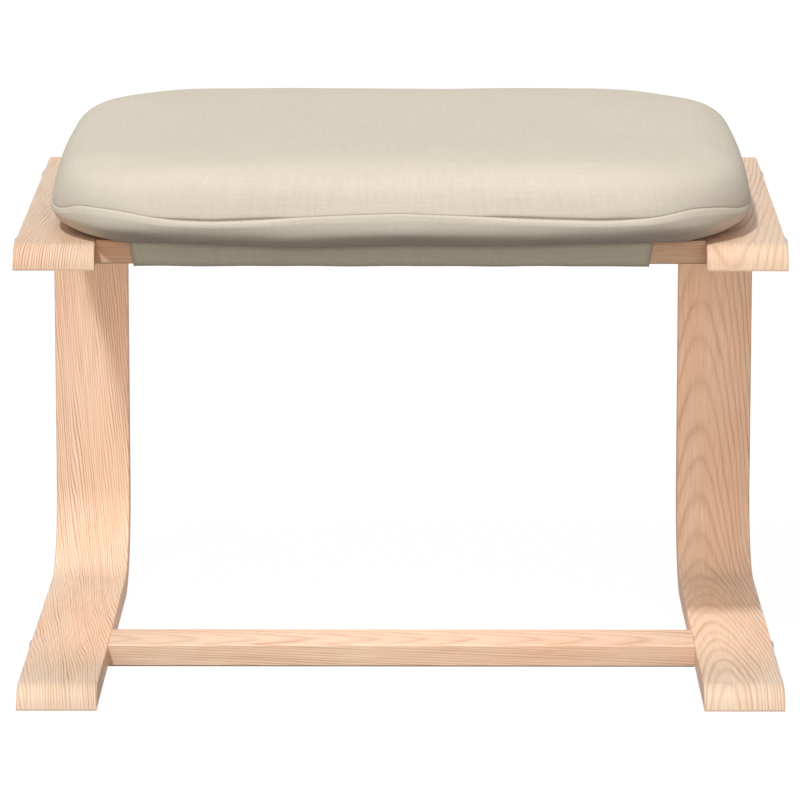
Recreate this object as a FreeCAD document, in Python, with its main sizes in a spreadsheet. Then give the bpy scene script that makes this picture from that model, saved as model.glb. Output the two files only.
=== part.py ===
# Bentwood footstool: two C-shaped side frames open to the front, two seat rails, a low stretcher,
# a fabric seat sling sleeved over the seat rails, and a boxed foam cushion with a zipped cover.
# Millimetres and degrees. X runs across the stool, Y from its open front to its back, Z up.
# The origin is on the floor under the middle of the stool.
import FreeCAD, Part
import math
import os
import Sketcher
from FreeCAD import Placement, Rotation, Vector

doc = FreeCAD.newDocument("Footstool")
sheet = doc.addObject("Spreadsheet::Sheet", "Sizes")

# driving dimensions: alias, value, what it measures
driving = [
    ("frame_span", 490.0, "width over the outer faces of both side frames"),
    ("frame_depth", 400.0, "from the runner's front end to the back of the post"),
    ("strip_width", 51.5, "width of the bent strip, across the stool"),
    ("strip_thickness", 15.0, "thickness of the bent strip"),
    ("lower_bend_radius", 55.0, "inside radius between runner and post"),
    ("upper_bend_radius", 35.0, "inside radius between post and arm"),
    ("arm_slope", 2.2, "rise of the arm towards the back, in degrees"),
    ("arm_setback", 20.5, "arm's front end behind the runner's front end"),
    ("arm_height", 280.5, "underside of the arm at its front end"),
    ("nose_radius", 16.3, "round-over of the runner's and arm's front ends"),
    ("strip_edge_bevel", 1.0, "bevel on the long edges of the strip"),
    ("rail_depth", 46.0, "width of each cross rail, front to back"),
    ("rail_edge_bevel", 1.0, "bevel on the long edges of a rail"),
    ("stretcher_setback", 123.0, "low stretcher behind the runner's front end"),
    ("front_rail_setback", 23.0, "front seat rail behind the arm's front end, along the arm"),
    ("bolt_diameter", 6.0, "shank of a connecting bolt"),
    ("bolt_clearance", 0.5, "bolt bore larger than the shank by this"),
    ("bolt_reach", 28.5, "bolt's length past the strip, inside the rail"),
    ("bolt_tip_room", 1.5, "bore past the bolt's tip"),
    ("bolt_tip_bevel", 0.8, "bevel on the bolt's tip"),
    ("bolt_head_diameter", 10.5, "low domed head"),
    ("bolt_head_height", 2.2, "head above the strip's face"),
    ("bolt_socket", 4.0, "hexagon socket across its flats"),
    ("bolt_socket_depth", 2.6, "depth of the hexagon socket"),
    ("nut_diameter", 10.0, "barrel nut"),
    ("nut_length", 12.0, "length of a barrel nut"),
    ("nut_inset", 20.0, "barrel nut's axis from the rail's end"),
    ("nut_clearance", 0.3, "nut bore larger than the nut by this"),
    ("nut_slot", 1.2, "width and depth of the nut's screwdriver slot"),
    ("dowel_diameter", 8.0, "wooden dowel"),
    ("dowel_length", 30.0, "half in the strip and half in the rail"),
    ("dowel_spacing", 28.0, "between the two dowels of a rail's end"),
    ("dowel_clearance", 0.1, "dowel bore larger than the dowel by this"),
    ("dowel_end_gap", 0.5, "glue room past each end of a dowel"),
    ("cloth_thickness", 1.2, "cover and sling cloth with its hems"),
    ("cloth_gap", 0.3, "between cloth and what it lies on"),
    ("sling_width", 332.0, "seat sling across the stool"),
    ("sleeve_slack", 0.8, "how far a sleeve hangs clear under its rail"),
    ("cushion_width", 449.0, "cushion at its widest"),
    ("cushion_depth", 354.6, "cushion from front to back at its widest"),
    ("cushion_overhang", 16.0, "cushion ahead of the arm's front end"),
    ("rear_rail_inset", 24.1, "rear seat rail ahead of the cushion's back, along the arm"),
    ("cushion_corner_radius", 82.0, "plan radius of the cushion's corners at its widest"),
    ("cushion_thickness", 52.0, "cushion at its crown"),
    ("cushion_widest_height", 14.0, "height of the widest line above the base"),
    ("base_inset", 9.5, "how far the sides draw in towards the base"),
    ("side_lean", 14.0, "how far the sides lean in above the widest line"),
    ("crown_reach", 106.0, "from the leaning side to the flat of the crown"),
    ("crown_power", 10.0, "how late the side turns into the crown"),
    ("crown_root", 2.6, "how tightly the side turns into the crown"),
    ("corner_taper", 0.5, "loss of corner radius for each millimetre of inset"),
    ("top_seam_height", 21.0, "seam between top panel and side band, above the base"),
    ("base_seam_height", 3.0, "seam between side band and base panel, above the base"),
    ("zip_length", 300.0, "opening in the back of the side band"),
    ("zip_height", 12.0, "middle of the zip above the cushion's base"),
    ("tape_height", 9.0, "zip tape that shows between the band's edges"),
    ("chain_width", 3.2, "closed teeth of the zip"),
    ("chain_rise", 1.3, "teeth outside the tape"),
    ("slider_length", 10.0, "zip slider along the zip"),
    ("slider_wall", 1.1, "thickness of the slider's plate and flanges"),
    ("slider_gap", 0.3, "slider's running clearance round the teeth"),
    ("slider_parking", 4.0, "slider's end from the end of the teeth"),
    ("bridge_bar", 1.6, "diameter of the slider's bridge"),
    ("bridge_room", 2.0, "free height under the bridge"),
    ("pull_length", 24.0, "zip pull from its pivot to its tip"),
    ("pull_width", 6.0, "zip pull at its tip"),
    ("pull_thickness", 1.4, "thickness of the zip pull"),
    ("pull_clearance", 0.2, "between the pull's eye and the bridge's corners"),
    ("pull_eye_wall", 1.0, "wall of the pull's eye"),
    ("pull_side_room", 1.0, "between the pull's eye and each leg of the bridge"),
    ("pull_shoulder", 4.0, "from the eye down to the pull's full width"),
]
for row, (alias, value, meaning) in enumerate(driving, start=1):
    sheet.set(f"A{row}", meaning)
    sheet.set(f"B{row}", str(value))
    sheet.setAlias(f"B{row}", alias)
doc.recompute()


def number(expression):
    # an expression's value with the sheet's present sizes
    return float(sheet.evalExpression(expression.replace("Sizes.", "")))


# Places that several pieces share, as expressions on the sheet

rail_length = "(Sizes.frame_span - 2 * Sizes.strip_width)"
cushion_back = "(Sizes.cushion_depth - Sizes.cushion_overhang)"
rear_setback = f"({cushion_back} - Sizes.rear_rail_inset - Sizes.rail_depth)"
rail_middle = "Sizes.strip_thickness / 2"
front_of_stool = "-Sizes.frame_depth / 2"
seat_front = "(Sizes.arm_setback - Sizes.frame_depth / 2)"
sling_top = "(Sizes.strip_thickness + Sizes.cloth_gap + Sizes.cloth_thickness)"
cushion_base = f"({sling_top} + Sizes.cloth_gap)"
nose_run = "sqrt(Sizes.nose_radius ^ 2 - (Sizes.nose_radius - Sizes.strip_thickness) ^ 2)"


def rail_centre(setback):
    return f"({setback} + Sizes.rail_depth / 2)"


def place_level(piece, x, y, z):
    # a piece whose own axes stand parallel to the stool's
    piece.setExpression("Placement.Base.x", x)
    piece.setExpression("Placement.Base.y", y)
    piece.setExpression("Placement.Base.z", z)


def seat_y(along, above):
    return f"{seat_front} + ({along}) * cos(Sizes.arm_slope) - ({above}) * sin(Sizes.arm_slope)"


def seat_z(along, above):
    return f"Sizes.arm_height + ({along}) * sin(Sizes.arm_slope) + ({above}) * cos(Sizes.arm_slope)"


def place_on_seat(piece, x="0", along="0", above="0"):
    # a piece that lies with the sloping arms: along runs back from the arm's front end, above its underside
    piece.Placement = Placement(Vector(), Rotation(Vector(1, 0, 0), 1))
    place_level(piece, x, seat_y(along, above), seat_z(along, above))
    piece.setExpression("Placement.Rotation.Angle", "Sizes.arm_slope * 1 deg")


# Sketches and features


def new_body(label):
    body = doc.addObject("PartDesign::Body", label)
    body.Label = label
    return body


def new_sketch(body, name, role, offset=None):
    sketch = body.newObject("Sketcher::SketchObject", name)
    plane = next(f for f in body.Origin.OriginFeatures if f.Role == role)
    sketch.AttachmentSupport = [(plane, "")]
    sketch.MapMode = "FlatFace"
    if offset:
        sketch.setExpression("AttachmentOffset.Base.z", offset)
    return sketch


def dimension(sketch, name, constraint, expression):
    index = sketch.addConstraint(constraint)
    sketch.renameConstraint(index, name)
    sketch.setExpression(f"Constraints.{name}", expression)


def fix_point(sketch, name, geometry, point, x, y):
    # holds a point at x, y from the sketch's origin, on whichever side of it that is
    for kind, axis, expression in (("DistanceX", "x", x), ("DistanceY", "y", y)):
        value = number(expression)
        ends = (-1, 1, geometry, point) if value >= 0 else (geometry, point, -1, 1)
        signed = expression if value >= 0 else f"-({expression})"
        dimension(sketch, f"{name}_{axis}", Sketcher.Constraint(kind, *ends, abs(value)), signed)


def draw_circle(sketch, name, x, y, diameter):
    circle = Part.Circle(Vector(number(x), number(y), 0), Vector(0, 0, 1), number(diameter) / 2)
    index = sketch.addGeometry(circle)
    fix_point(sketch, name, index, 3, x, y)
    size = Sketcher.Constraint("Diameter", index, number(diameter))
    dimension(sketch, f"{name}_diameter", size, diameter)


def draw_outline(sketch, points):
    # closed outline of straight lines through points given as pairs of expressions
    spots = [Vector(number(x), number(y), 0) for x, y in points]
    lines = [
        sketch.addGeometry(Part.LineSegment(spot, spots[(i + 1) % len(spots)]))
        for i, spot in enumerate(spots)
    ]
    for i, line in enumerate(lines):
        sketch.addConstraint(Sketcher.Constraint("Coincident", line, 2, lines[(i + 1) % len(lines)], 1))
    for line, (x, y) in zip(lines, points):
        fix_point(sketch, f"corner_{line}", line, 1, x, y)


def draw_rounded_rectangle(sketch, left, right, low, high, radius):
    x0, x1, y0, y1, r = (number(e) for e in (left, right, low, high, radius))
    up = Vector(0, 0, 1)
    corners = (
        (Vector(x1 - r, y0 + r, 0), -90),
        (Vector(x1 - r, y1 - r, 0), 0),
        (Vector(x0 + r, y1 - r, 0), 90),
        (Vector(x0 + r, y0 + r, 0), 180),
    )
    arcs = []
    for centre, start in corners:
        begin, end = math.radians(start), math.radians(start + 90)
        arcs.append(sketch.addGeometry(Part.ArcOfCircle(Part.Circle(centre, up, r), begin, end)))
    sides = []
    for i, arc in enumerate(arcs):
        leave = sketch.getPoint(arc, 2)
        arrive = sketch.getPoint(arcs[(i + 1) % 4], 1)
        side = sketch.addGeometry(Part.LineSegment(leave, arrive))
        sketch.addConstraint(Sketcher.Constraint("Tangent", arc, 2, side, 1))
        sketch.addConstraint(Sketcher.Constraint("Tangent", side, 2, arcs[(i + 1) % 4], 1))
        sketch.addConstraint(Sketcher.Constraint("Vertical" if i % 2 == 0 else "Horizontal", side))
        if i:
            sketch.addConstraint(Sketcher.Constraint("Equal", arcs[0], arc))
        sides.append(side)
    dimension(sketch, f"corner_{arcs[0]}", Sketcher.Constraint("Radius", arcs[0], r), radius)
    for side, kind, expression in (
        (sides[0], "DistanceX", right),
        (sides[1], "DistanceY", high),
        (sides[2], "DistanceX", left),
        (sides[3], "DistanceY", low),
    ):
        value = number(expression)
        ends = (-1, 1, side, 1) if value >= 0 else (side, 1, -1, 1)
        signed = expression if value >= 0 else f"-({expression})"
        dimension(sketch, f"side_{side}", Sketcher.Constraint(kind, *ends, abs(value)), signed)


def pad(body, sketch, length, middle=False):
    feature = body.newObject("PartDesign::Pad", f"{sketch.Name}_pad")
    feature.Profile = sketch
    feature.setExpression("Length", length)
    feature.Midplane = middle
    return feature


def pocket(body, sketch, length=None, along_normal=False):
    # with no length it cuts right through, both ways
    feature = body.newObject("PartDesign::Pocket", f"{sketch.Name}_pocket")
    feature.Profile = sketch
    if length:
        feature.setExpression("Length", length)
        feature.Reversed = along_normal
    else:
        feature.Type = "ThroughAll"
        feature.Midplane = True
    return feature


def revolve(body, sketch):
    feature = body.newObject("PartDesign::Revolution", f"{sketch.Name}_turned")
    feature.Profile = sketch
    feature.ReferenceAxis = (sketch, ["H_Axis"])
    feature.Angle = 360
    return feature


def bevel(body, base, size, wanted):
    # bevels the edges of base that the test picks out
    doc.recompute()
    names = [f"Edge{i}" for i, edge in enumerate(base.Shape.Edges, start=1) if wanted(edge)]
    feature = body.newObject("PartDesign::Chamfer", f"{body.Name}_bevel")
    feature.Base = (base, names)
    feature.setExpression("Size", size)
    return feature


def mirrored(body, originals):
    feature = body.newObject("PartDesign::Mirrored", f"{body.Name}_other_end")
    feature.Originals = originals
    plane = next(f for f in body.Origin.OriginFeatures if f.Role == "YZ_Plane")
    feature.MirrorPlane = (plane, [""])
    body.Tip = feature
    return feature


# Side frames


def frame_profile(sketch):
    # one strip bent twice: runner, post and arm, seen from the side
    depth, thick = number("Sizes.frame_depth"), number("Sizes.strip_thickness")
    inner_low, inner_high = number("Sizes.lower_bend_radius"), number("Sizes.upper_bend_radius")
    nose, run = number("Sizes.nose_radius"), number(nose_run)
    slope = math.radians(number("Sizes.arm_slope"))
    back = Vector(math.cos(slope), math.sin(slope), 0)
    up = Vector(-math.sin(slope), math.cos(slope), 0)
    tip = Vector(number("Sizes.arm_setback"), number("Sizes.arm_height"), 0)
    low_centre = Vector(depth - thick - inner_low, thick + inner_low, 0)
    high_x = depth - thick - inner_high
    high_along = (high_x - tip.x - inner_high * math.sin(slope)) / math.cos(slope)
    high_centre = tip + back * high_along - up * inner_high
    quarter = math.pi / 2
    nose_end = math.pi - math.asin((nose - thick) / nose)
    normal = Vector(0, 0, 1)

    def arc(centre, radius, begin, end):
        return Part.ArcOfCircle(Part.Circle(centre, normal, radius), begin, end)

    def line(start, end):
        return Part.LineSegment(start, end)

    arm_nose = tip + back * run + up * (thick - nose)
    runner_nose = Vector(run, thick - nose, 0)
    outer_low, outer_high = inner_low + thick, inner_high + thick
    shapes = [
        line(Vector(0, 0, 0), Vector(low_centre.x, 0, 0)),
        arc(low_centre, outer_low, -quarter, 0),
        line(Vector(depth, low_centre.y, 0), Vector(depth, high_centre.y, 0)),
        arc(high_centre, outer_high, 0, quarter + slope),
        line(high_centre + up * outer_high, arm_nose + up * nose),
        arc(arm_nose, nose, quarter + slope, nose_end + slope),
        line(tip, high_centre + up * inner_high),
        arc(high_centre, inner_high, 0, quarter + slope),
        line(Vector(depth - thick, high_centre.y, 0), Vector(depth - thick, low_centre.y, 0)),
        arc(low_centre, inner_low, -quarter, 0),
        line(Vector(low_centre.x, thick, 0), Vector(run, thick, 0)),
        arc(runner_nose, nose, quarter, nose_end),
    ]
    (sole, bend_low, spine, bend_high, arm_top, arm_end, arm_under,
     inside_high, post_face, inside_low, runner_top, runner_end) = (sketch.addGeometry(s) for s in shapes)
    smooth = [
        (sole, 2, bend_low, 1), (bend_low, 2, spine, 1), (spine, 2, bend_high, 1),
        (bend_high, 2, arm_top, 1), (arm_top, 2, arm_end, 1), (arm_under, 2, inside_high, 2),
        (inside_high, 1, post_face, 1), (post_face, 2, inside_low, 2), (inside_low, 1, runner_top, 1),
        (runner_top, 2, runner_end, 1),
    ]
    for joint in smooth:
        sketch.addConstraint(Sketcher.Constraint("Tangent", *joint))
    for corner in ((arm_end, 2, arm_under, 1), (runner_end, 2, sole, 1), (sole, 1, -1, 1),
                   (bend_low, 3, inside_low, 3), (bend_high, 3, inside_high, 3)):
        sketch.addConstraint(Sketcher.Constraint("Coincident", *corner))
    sketch.addConstraint(Sketcher.Constraint("Horizontal", sole))
    sketch.addConstraint(Sketcher.Constraint("Horizontal", runner_top))
    sketch.addConstraint(Sketcher.Constraint("Vertical", spine))
    sketch.addConstraint(Sketcher.Constraint("Vertical", post_face))
    sketch.addConstraint(Sketcher.Constraint("Parallel", arm_top, arm_under))
    dimension(sketch, "depth", Sketcher.Constraint("DistanceX", -1, 1, spine, 1, depth),
              "Sizes.frame_depth")
    dimension(sketch, "thickness", Sketcher.Constraint("DistanceY", sole, 2, inside_low, 1, thick),
              "Sizes.strip_thickness")
    dimension(sketch, "low_radius", Sketcher.Constraint("Radius", inside_low, inner_low),
              "Sizes.lower_bend_radius")
    dimension(sketch, "high_radius", Sketcher.Constraint("Radius", inside_high, inner_high),
              "Sizes.upper_bend_radius")
    dimension(sketch, "arm_nose", Sketcher.Constraint("Radius", arm_end, nose), "Sizes.nose_radius")
    dimension(sketch, "runner_nose", Sketcher.Constraint("Radius", runner_end, nose), "Sizes.nose_radius")
    dimension(sketch, "slope", Sketcher.Constraint("Angle", arm_under, slope), "Sizes.arm_slope * 1 deg")
    fix_point(sketch, "arm_tip", arm_under, 1, "Sizes.arm_setback", "Sizes.arm_height")


def seat_bore(setback):
    # a seat rail's middle seen from the side, from the runner's front end and the floor
    along, above = rail_centre(setback), rail_middle
    y = f"({seat_y(along, above)}) + Sizes.frame_depth / 2"
    return y, seat_z(along, above)


def bore_places():
    stretcher = (rail_centre("Sizes.stretcher_setback"), rail_middle)
    return {
        "front_rail": seat_bore("Sizes.front_rail_setback"),
        "rear_rail": seat_bore(rear_setback),
        "stretcher": stretcher,
    }


def dowel_places(joint, y, z):
    # one dowel before and one behind the bolt, in line with the rail
    slope = "0" if joint == "stretcher" else "Sizes.arm_slope"
    for end, sign in (("fore", "-"), ("aft", "+")):
        shift = f"{sign} Sizes.dowel_spacing / 2"
        yield end, f"{y} {shift} * cos({slope})", f"{z} {shift} * sin({slope})"


def side_frame(label, outer_x, inner_face, bore_inwards):
    body = new_body(label)
    profile = new_sketch(body, f"{label}_profile", "YZ_Plane")
    frame_profile(profile)
    strip = pad(body, profile, "Sizes.strip_width")

    tip = Vector(0, number("Sizes.arm_setback"), number("Sizes.arm_height"))

    def worn(edge):
        # the edges along the strip's two sides, and the lower edge of each front end
        across = max(v.X for v in edge.Vertexes) - min(v.X for v in edge.Vertexes)
        start = Vector(0, edge.Vertexes[0].Y, edge.Vertexes[0].Z)
        return across < 1e-3 or start.Length < 1e-3 or start.distanceToPoint(tip) < 1e-3

    bevel(body, strip, "Sizes.strip_edge_bevel", worn)
    bolts = new_sketch(body, f"{label}_bolt_bores", "YZ_Plane")
    dowels = new_sketch(body, f"{label}_dowel_bores", "YZ_Plane", inner_face)
    for joint, (y, z) in bore_places().items():
        draw_circle(bolts, joint, y, z, "Sizes.bolt_diameter + Sizes.bolt_clearance")
        for end, dowel_y, dowel_z in dowel_places(joint, y, z):
            bore = "Sizes.dowel_diameter + Sizes.dowel_clearance"
            draw_circle(dowels, f"{joint}_{end}", dowel_y, dowel_z, bore)
    pocket(body, bolts)
    pocket(body, dowels, "Sizes.dowel_length / 2 + Sizes.dowel_end_gap", along_normal=bore_inwards)
    place_level(body, outer_x, front_of_stool, "0")
    return body


# Cross rails


def cross_rail(label, setback):
    body = new_body(label)
    section = new_sketch(body, f"{label}_section", "YZ_Plane")
    far = f"{setback} + Sizes.rail_depth"
    draw_outline(section, [(setback, "0"), (far, "0"), (far, "Sizes.strip_thickness"),
                           (setback, "Sizes.strip_thickness")])
    bar = pad(body, section, rail_length, middle=True)

    def along_rail(edge):
        return edge.Length > number(rail_length) - 1

    bevel(body, bar, "Sizes.rail_edge_bevel", along_rail)
    middle = rail_centre(setback)
    end = f"{rail_length} / 2"
    bolt = new_sketch(body, f"{label}_bolt_bore", "YZ_Plane", end)
    draw_circle(bolt, "bore", middle, rail_middle, "Sizes.bolt_diameter + Sizes.bolt_clearance")
    bolt_bore = pocket(body, bolt, "Sizes.bolt_reach + Sizes.bolt_tip_room")
    dowels = new_sketch(body, f"{label}_dowel_bores", "YZ_Plane", end)
    for name, sign in (("fore", "-"), ("aft", "+")):
        place = f"{middle} {sign} Sizes.dowel_spacing / 2"
        draw_circle(dowels, name, place, rail_middle, "Sizes.dowel_diameter + Sizes.dowel_clearance")
    dowel_bores = pocket(body, dowels, "Sizes.dowel_length / 2 + Sizes.dowel_end_gap")
    nut = new_sketch(body, f"{label}_nut_bore", "XY_Plane")
    nut_x = f"{end} - Sizes.nut_inset"
    draw_circle(nut, "bore", nut_x, middle, "Sizes.nut_diameter + Sizes.nut_clearance")
    depth = "(Sizes.strip_thickness + Sizes.nut_length + Sizes.nut_clearance) / 2"
    nut_bore = pocket(body, nut, depth, along_normal=True)
    mirrored(body, [bolt_bore, dowel_bores, nut_bore])
    return body


# Fasteners


def connecting_bolt(label, side, y, z):
    # domed head on the strip's outer face, shank through the strip into the rail's end
    body = new_body(label)
    half = new_sketch(body, f"{label}_half", "XY_Plane")
    shank, head = "Sizes.bolt_diameter / 2", "Sizes.bolt_head_diameter / 2"
    tip = "Sizes.strip_width + Sizes.bolt_reach"
    rim = "Sizes.bolt_head_height * 0.35"
    bevel = "Sizes.bolt_tip_bevel"
    draw_outline(half, [
        (tip, "0"), (tip, f"{shank} - {bevel}"), (f"{tip} - {bevel}", shank), ("0", shank), ("0", head),
        (f"-{rim}", head), ("-Sizes.bolt_head_height * 0.8", f"{head} * 0.82"),
        ("-Sizes.bolt_head_height", f"{head} * 0.6"), ("-Sizes.bolt_head_height", "0"),
    ])
    revolve(body, half)
    socket = new_sketch(body, f"{label}_socket", "YZ_Plane", "-Sizes.bolt_head_height")
    corner = "Sizes.bolt_socket / (2 * cos(30))"
    draw_outline(socket, [(f"{corner} * cos({60 * i})", f"{corner} * sin({60 * i})") for i in range(6)])
    pocket(body, socket, "Sizes.bolt_socket_depth", along_normal=True)
    if side == "right":
        body.Placement = Placement(Vector(), Rotation(Vector(0, 0, 1), 180))
    sign = "-" if side == "left" else ""
    place_level(body, f"{sign}Sizes.frame_span / 2", y, z)
    return body


def barrel_nut(label, side, setback, level):
    # stands upright in the rail, slotted end down, with the bolt through its middle
    body = new_body(label)
    disc = new_sketch(body, f"{label}_disc", "XY_Plane", "-Sizes.nut_length / 2")
    draw_circle(disc, "barrel", "0", "0", "Sizes.nut_diameter")
    pad(body, disc, "Sizes.nut_length")
    thread = new_sketch(body, f"{label}_thread", "YZ_Plane")
    draw_circle(thread, "bore", "0", "0", "Sizes.bolt_diameter + Sizes.bolt_clearance / 2")
    pocket(body, thread)
    slot = new_sketch(body, f"{label}_slot", "XY_Plane", "-Sizes.nut_length / 2")
    half, reach = "Sizes.nut_slot / 2", "Sizes.nut_diameter"
    draw_outline(slot, [(f"-{reach}", f"-{half}"), (reach, f"-{half}"), (reach, half), (f"-{reach}", half)])
    pocket(body, slot, "Sizes.nut_slot", along_normal=True)
    sign = "-" if side == "left" else ""
    x = f"{sign}({rail_length} / 2 - Sizes.nut_inset)"
    if level:
        place_level(body, x, f"{front_of_stool} + {rail_centre(setback)}", rail_middle)
    else:
        place_on_seat(body, x, rail_centre(setback), rail_middle)
    return body


def wooden_dowel(label, side, y, z):
    body = new_body(label)
    disc = new_sketch(body, f"{label}_disc", "YZ_Plane")
    draw_circle(disc, "round", "0", "0", "Sizes.dowel_diameter")
    pad(body, disc, "Sizes.dowel_length", middle=True)
    sign = "-" if side == "left" else ""
    place_level(body, f"{sign}{rail_length} / 2", y, z)
    return body


# Seat sling


def sling_sleeve(body, label, setback):
    # closed loop of cloth round one seat rail, a little slack underneath
    section = new_sketch(body, label, "YZ_Plane")
    far = f"{setback} + Sizes.rail_depth"
    gap, cloth = "Sizes.cloth_gap", "Sizes.cloth_thickness"
    low = "-Sizes.sleeve_slack"
    inside = "Sizes.rail_edge_bevel"
    draw_rounded_rectangle(section, f"{setback} - {gap}", f"{far} + {gap}", low,
                           f"Sizes.strip_thickness + {gap}", inside)
    draw_rounded_rectangle(section, f"{setback} - {gap} - {cloth}", f"{far} + {gap} + {cloth}",
                           f"{low} - {cloth}", sling_top, f"{inside} + {cloth}")
    return pad(body, section, "Sizes.sling_width", middle=True)


def seat_sling(label):
    body = new_body(label)
    sling_sleeve(body, "front_sleeve", "Sizes.front_rail_setback")
    web = new_sketch(body, "sling_web", "YZ_Plane")
    start = rail_centre("Sizes.front_rail_setback")
    end = rail_centre(rear_setback)
    under = f"{sling_top} - Sizes.cloth_thickness"
    draw_outline(web, [(start, under), (end, under), (end, sling_top), (start, sling_top)])
    pad(body, web, "Sizes.sling_width", middle=True)
    sling_sleeve(body, "rear_sleeve", rear_setback)
    place_on_seat(body)
    return body


# Cushion

# stations of the rounded side, from the base up to the widest line and from there up the leaning side,
# then stations of the crown as shares of its reach
base_steps = (1, 0.92, 0.71, 0.38)
side_steps = (0, 0.25, 0.49, 0.64)
crown_steps = (0.02, 0.055, 0.12, 0.26, 0.52, 1)


def below_widest(step):
    height = f"Sizes.cushion_widest_height * (1 - {step})"
    inset = f"Sizes.base_inset * (1 - sqrt(1 - ({step}) ^ 2))"
    return height, inset


def above_widest(step):
    rise = "(Sizes.cushion_thickness - Sizes.cushion_widest_height)"
    height = f"Sizes.cushion_widest_height + {rise} * {step}"
    turn = f"(1 - (1 - {step} ^ Sizes.crown_power) ^ (1 / Sizes.crown_root))"
    inset = f"Sizes.side_lean * {step} ^ 2 + Sizes.crown_reach * {turn}"
    return height, inset


def crown_rise(share):
    # how far up the leaning side a station of the crown is
    return f"((1 - (1 - {share}) ^ Sizes.crown_root) ^ (1 / Sizes.crown_power))"


def cushion_form(name, skin):
    # crowned, with sides that lean in above the widest line and draw in to a flat base below it;
    # skin is taken off all round
    stations = [below_widest(s) for s in base_steps]
    stations += [above_widest(s) for s in side_steps]
    stations += [above_widest(crown_rise(s)) for s in crown_steps]
    sections = []
    for i, (height, inset) in enumerate(stations):
        sketch = doc.addObject("Sketcher::SketchObject", f"{name}_section_{i}")
        half = f"Sizes.cushion_width / 2 - ({inset}) - {skin}"
        front = f"-Sizes.cushion_overhang + ({inset}) + {skin}"
        back = f"{cushion_back} - ({inset}) - {skin}"
        radius = f"Sizes.cushion_corner_radius - Sizes.corner_taper * ({inset}) - {skin}"
        draw_rounded_rectangle(sketch, f"-({half})", half, front, back, radius)
        squeeze = f"(1 - 2 * ({skin}) / Sizes.cushion_thickness)"
        sketch.setExpression("Placement.Base.z", f"{skin} + ({height}) * {squeeze}")
        sections.append(sketch)
    loft = doc.addObject("Part::Loft", name)
    loft.Sections = sections
    loft.Solid = True
    loft.Ruled = True
    return loft


def slab(name, low, high):
    # everything of the cushion between two heights above its base
    box = doc.addObject("Part::Box", name)
    reach = "(Sizes.cushion_width + Sizes.cushion_depth)"
    box.setExpression("Length", f"2 * {reach}")
    box.setExpression("Width", f"2 * {reach}")
    box.setExpression("Height", f"({high}) - ({low})")
    box.setExpression("Placement.Base.x", f"-{reach}")
    box.setExpression("Placement.Base.y", f"-{reach}")
    box.setExpression("Placement.Base.z", low)
    return box


def combine(kind, label, base, tool):
    feature = doc.addObject(kind, label)
    feature.Base = base
    feature.Tool = tool
    feature.Label = label
    return feature


zip_station = "(1 - Sizes.zip_height / Sizes.cushion_widest_height)"
zip_inset = below_widest(zip_station)[1]
band_back = f"({cushion_back} - {zip_inset})"


def zip_window():
    window = doc.addObject("Part::Box", "zip_window")
    depth = "(4 * Sizes.base_inset)"
    window.setExpression("Length", "Sizes.zip_length")
    window.setExpression("Width", depth)
    window.setExpression("Height", "Sizes.tape_height")
    window.setExpression("Placement.Base.x", "-Sizes.zip_length / 2")
    window.setExpression("Placement.Base.y", f"{band_back} - {depth} / 2")
    window.setExpression("Placement.Base.z", "Sizes.zip_height - Sizes.tape_height / 2")
    return window


def zip_teeth():
    teeth = doc.addObject("Part::Box", "zip_teeth")
    root = "Sizes.cloth_thickness / 2"
    teeth.setExpression("Length", "Sizes.zip_length")
    teeth.setExpression("Width", f"{root} + Sizes.chain_rise")
    teeth.setExpression("Height", "Sizes.chain_width")
    teeth.setExpression("Placement.Base.x", "-Sizes.zip_length / 2")
    teeth.setExpression("Placement.Base.y", f"{band_back} - {root}")
    teeth.setExpression("Placement.Base.z", "Sizes.zip_height - Sizes.chain_width / 2")
    return teeth


def cushion_pieces():
    core = cushion_form("cushion_core", "(Sizes.cloth_thickness + Sizes.cloth_gap)")
    outside = cushion_form("cover_outside", "0")
    inside = cushion_form("cover_inside", "Sizes.cloth_thickness")
    cover = combine("Part::Cut", "cover_shell", outside, inside)
    above, below = "2 * Sizes.cushion_thickness", "-Sizes.cushion_thickness"
    band_slab = slab("band_slab", "Sizes.base_seam_height", "Sizes.top_seam_height")
    top_slab = slab("top_slab", "Sizes.top_seam_height", above)
    base_slab = slab("base_slab", below, "Sizes.base_seam_height")
    top = combine("Part::Common", "cover_top_panel", cover, top_slab)
    base = combine("Part::Common", "cover_base_panel", cover, base_slab)
    ring = combine("Part::Common", "band_ring", cover, band_slab)
    window = zip_window()
    band = combine("Part::Cut", "cover_side_band", ring, window)
    tape = combine("Part::Common", "tape_strip", ring, window)
    fastener = combine("Part::Fuse", "zip_tape", tape, zip_teeth())
    pieces = [core, top, base, band, fastener]
    for piece in pieces:
        place_on_seat(piece, above=cushion_base)
    return pieces


# Zip slider and pull. Their own origin is the axis of the bridge, at the slider's middle.

slider_x = "(Sizes.zip_length / 2 - Sizes.slider_parking - Sizes.slider_length / 2)"
plate_under = "(Sizes.bridge_bar / 2 + Sizes.bridge_room + Sizes.slider_wall)"
bridge_out = f"(Sizes.chain_rise + Sizes.slider_gap + {plate_under})"


def place_at_zip(piece):
    along = f"{band_back} + {bridge_out}"
    place_on_seat(piece, slider_x, along, f"{cushion_base} + Sizes.zip_height")


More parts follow.
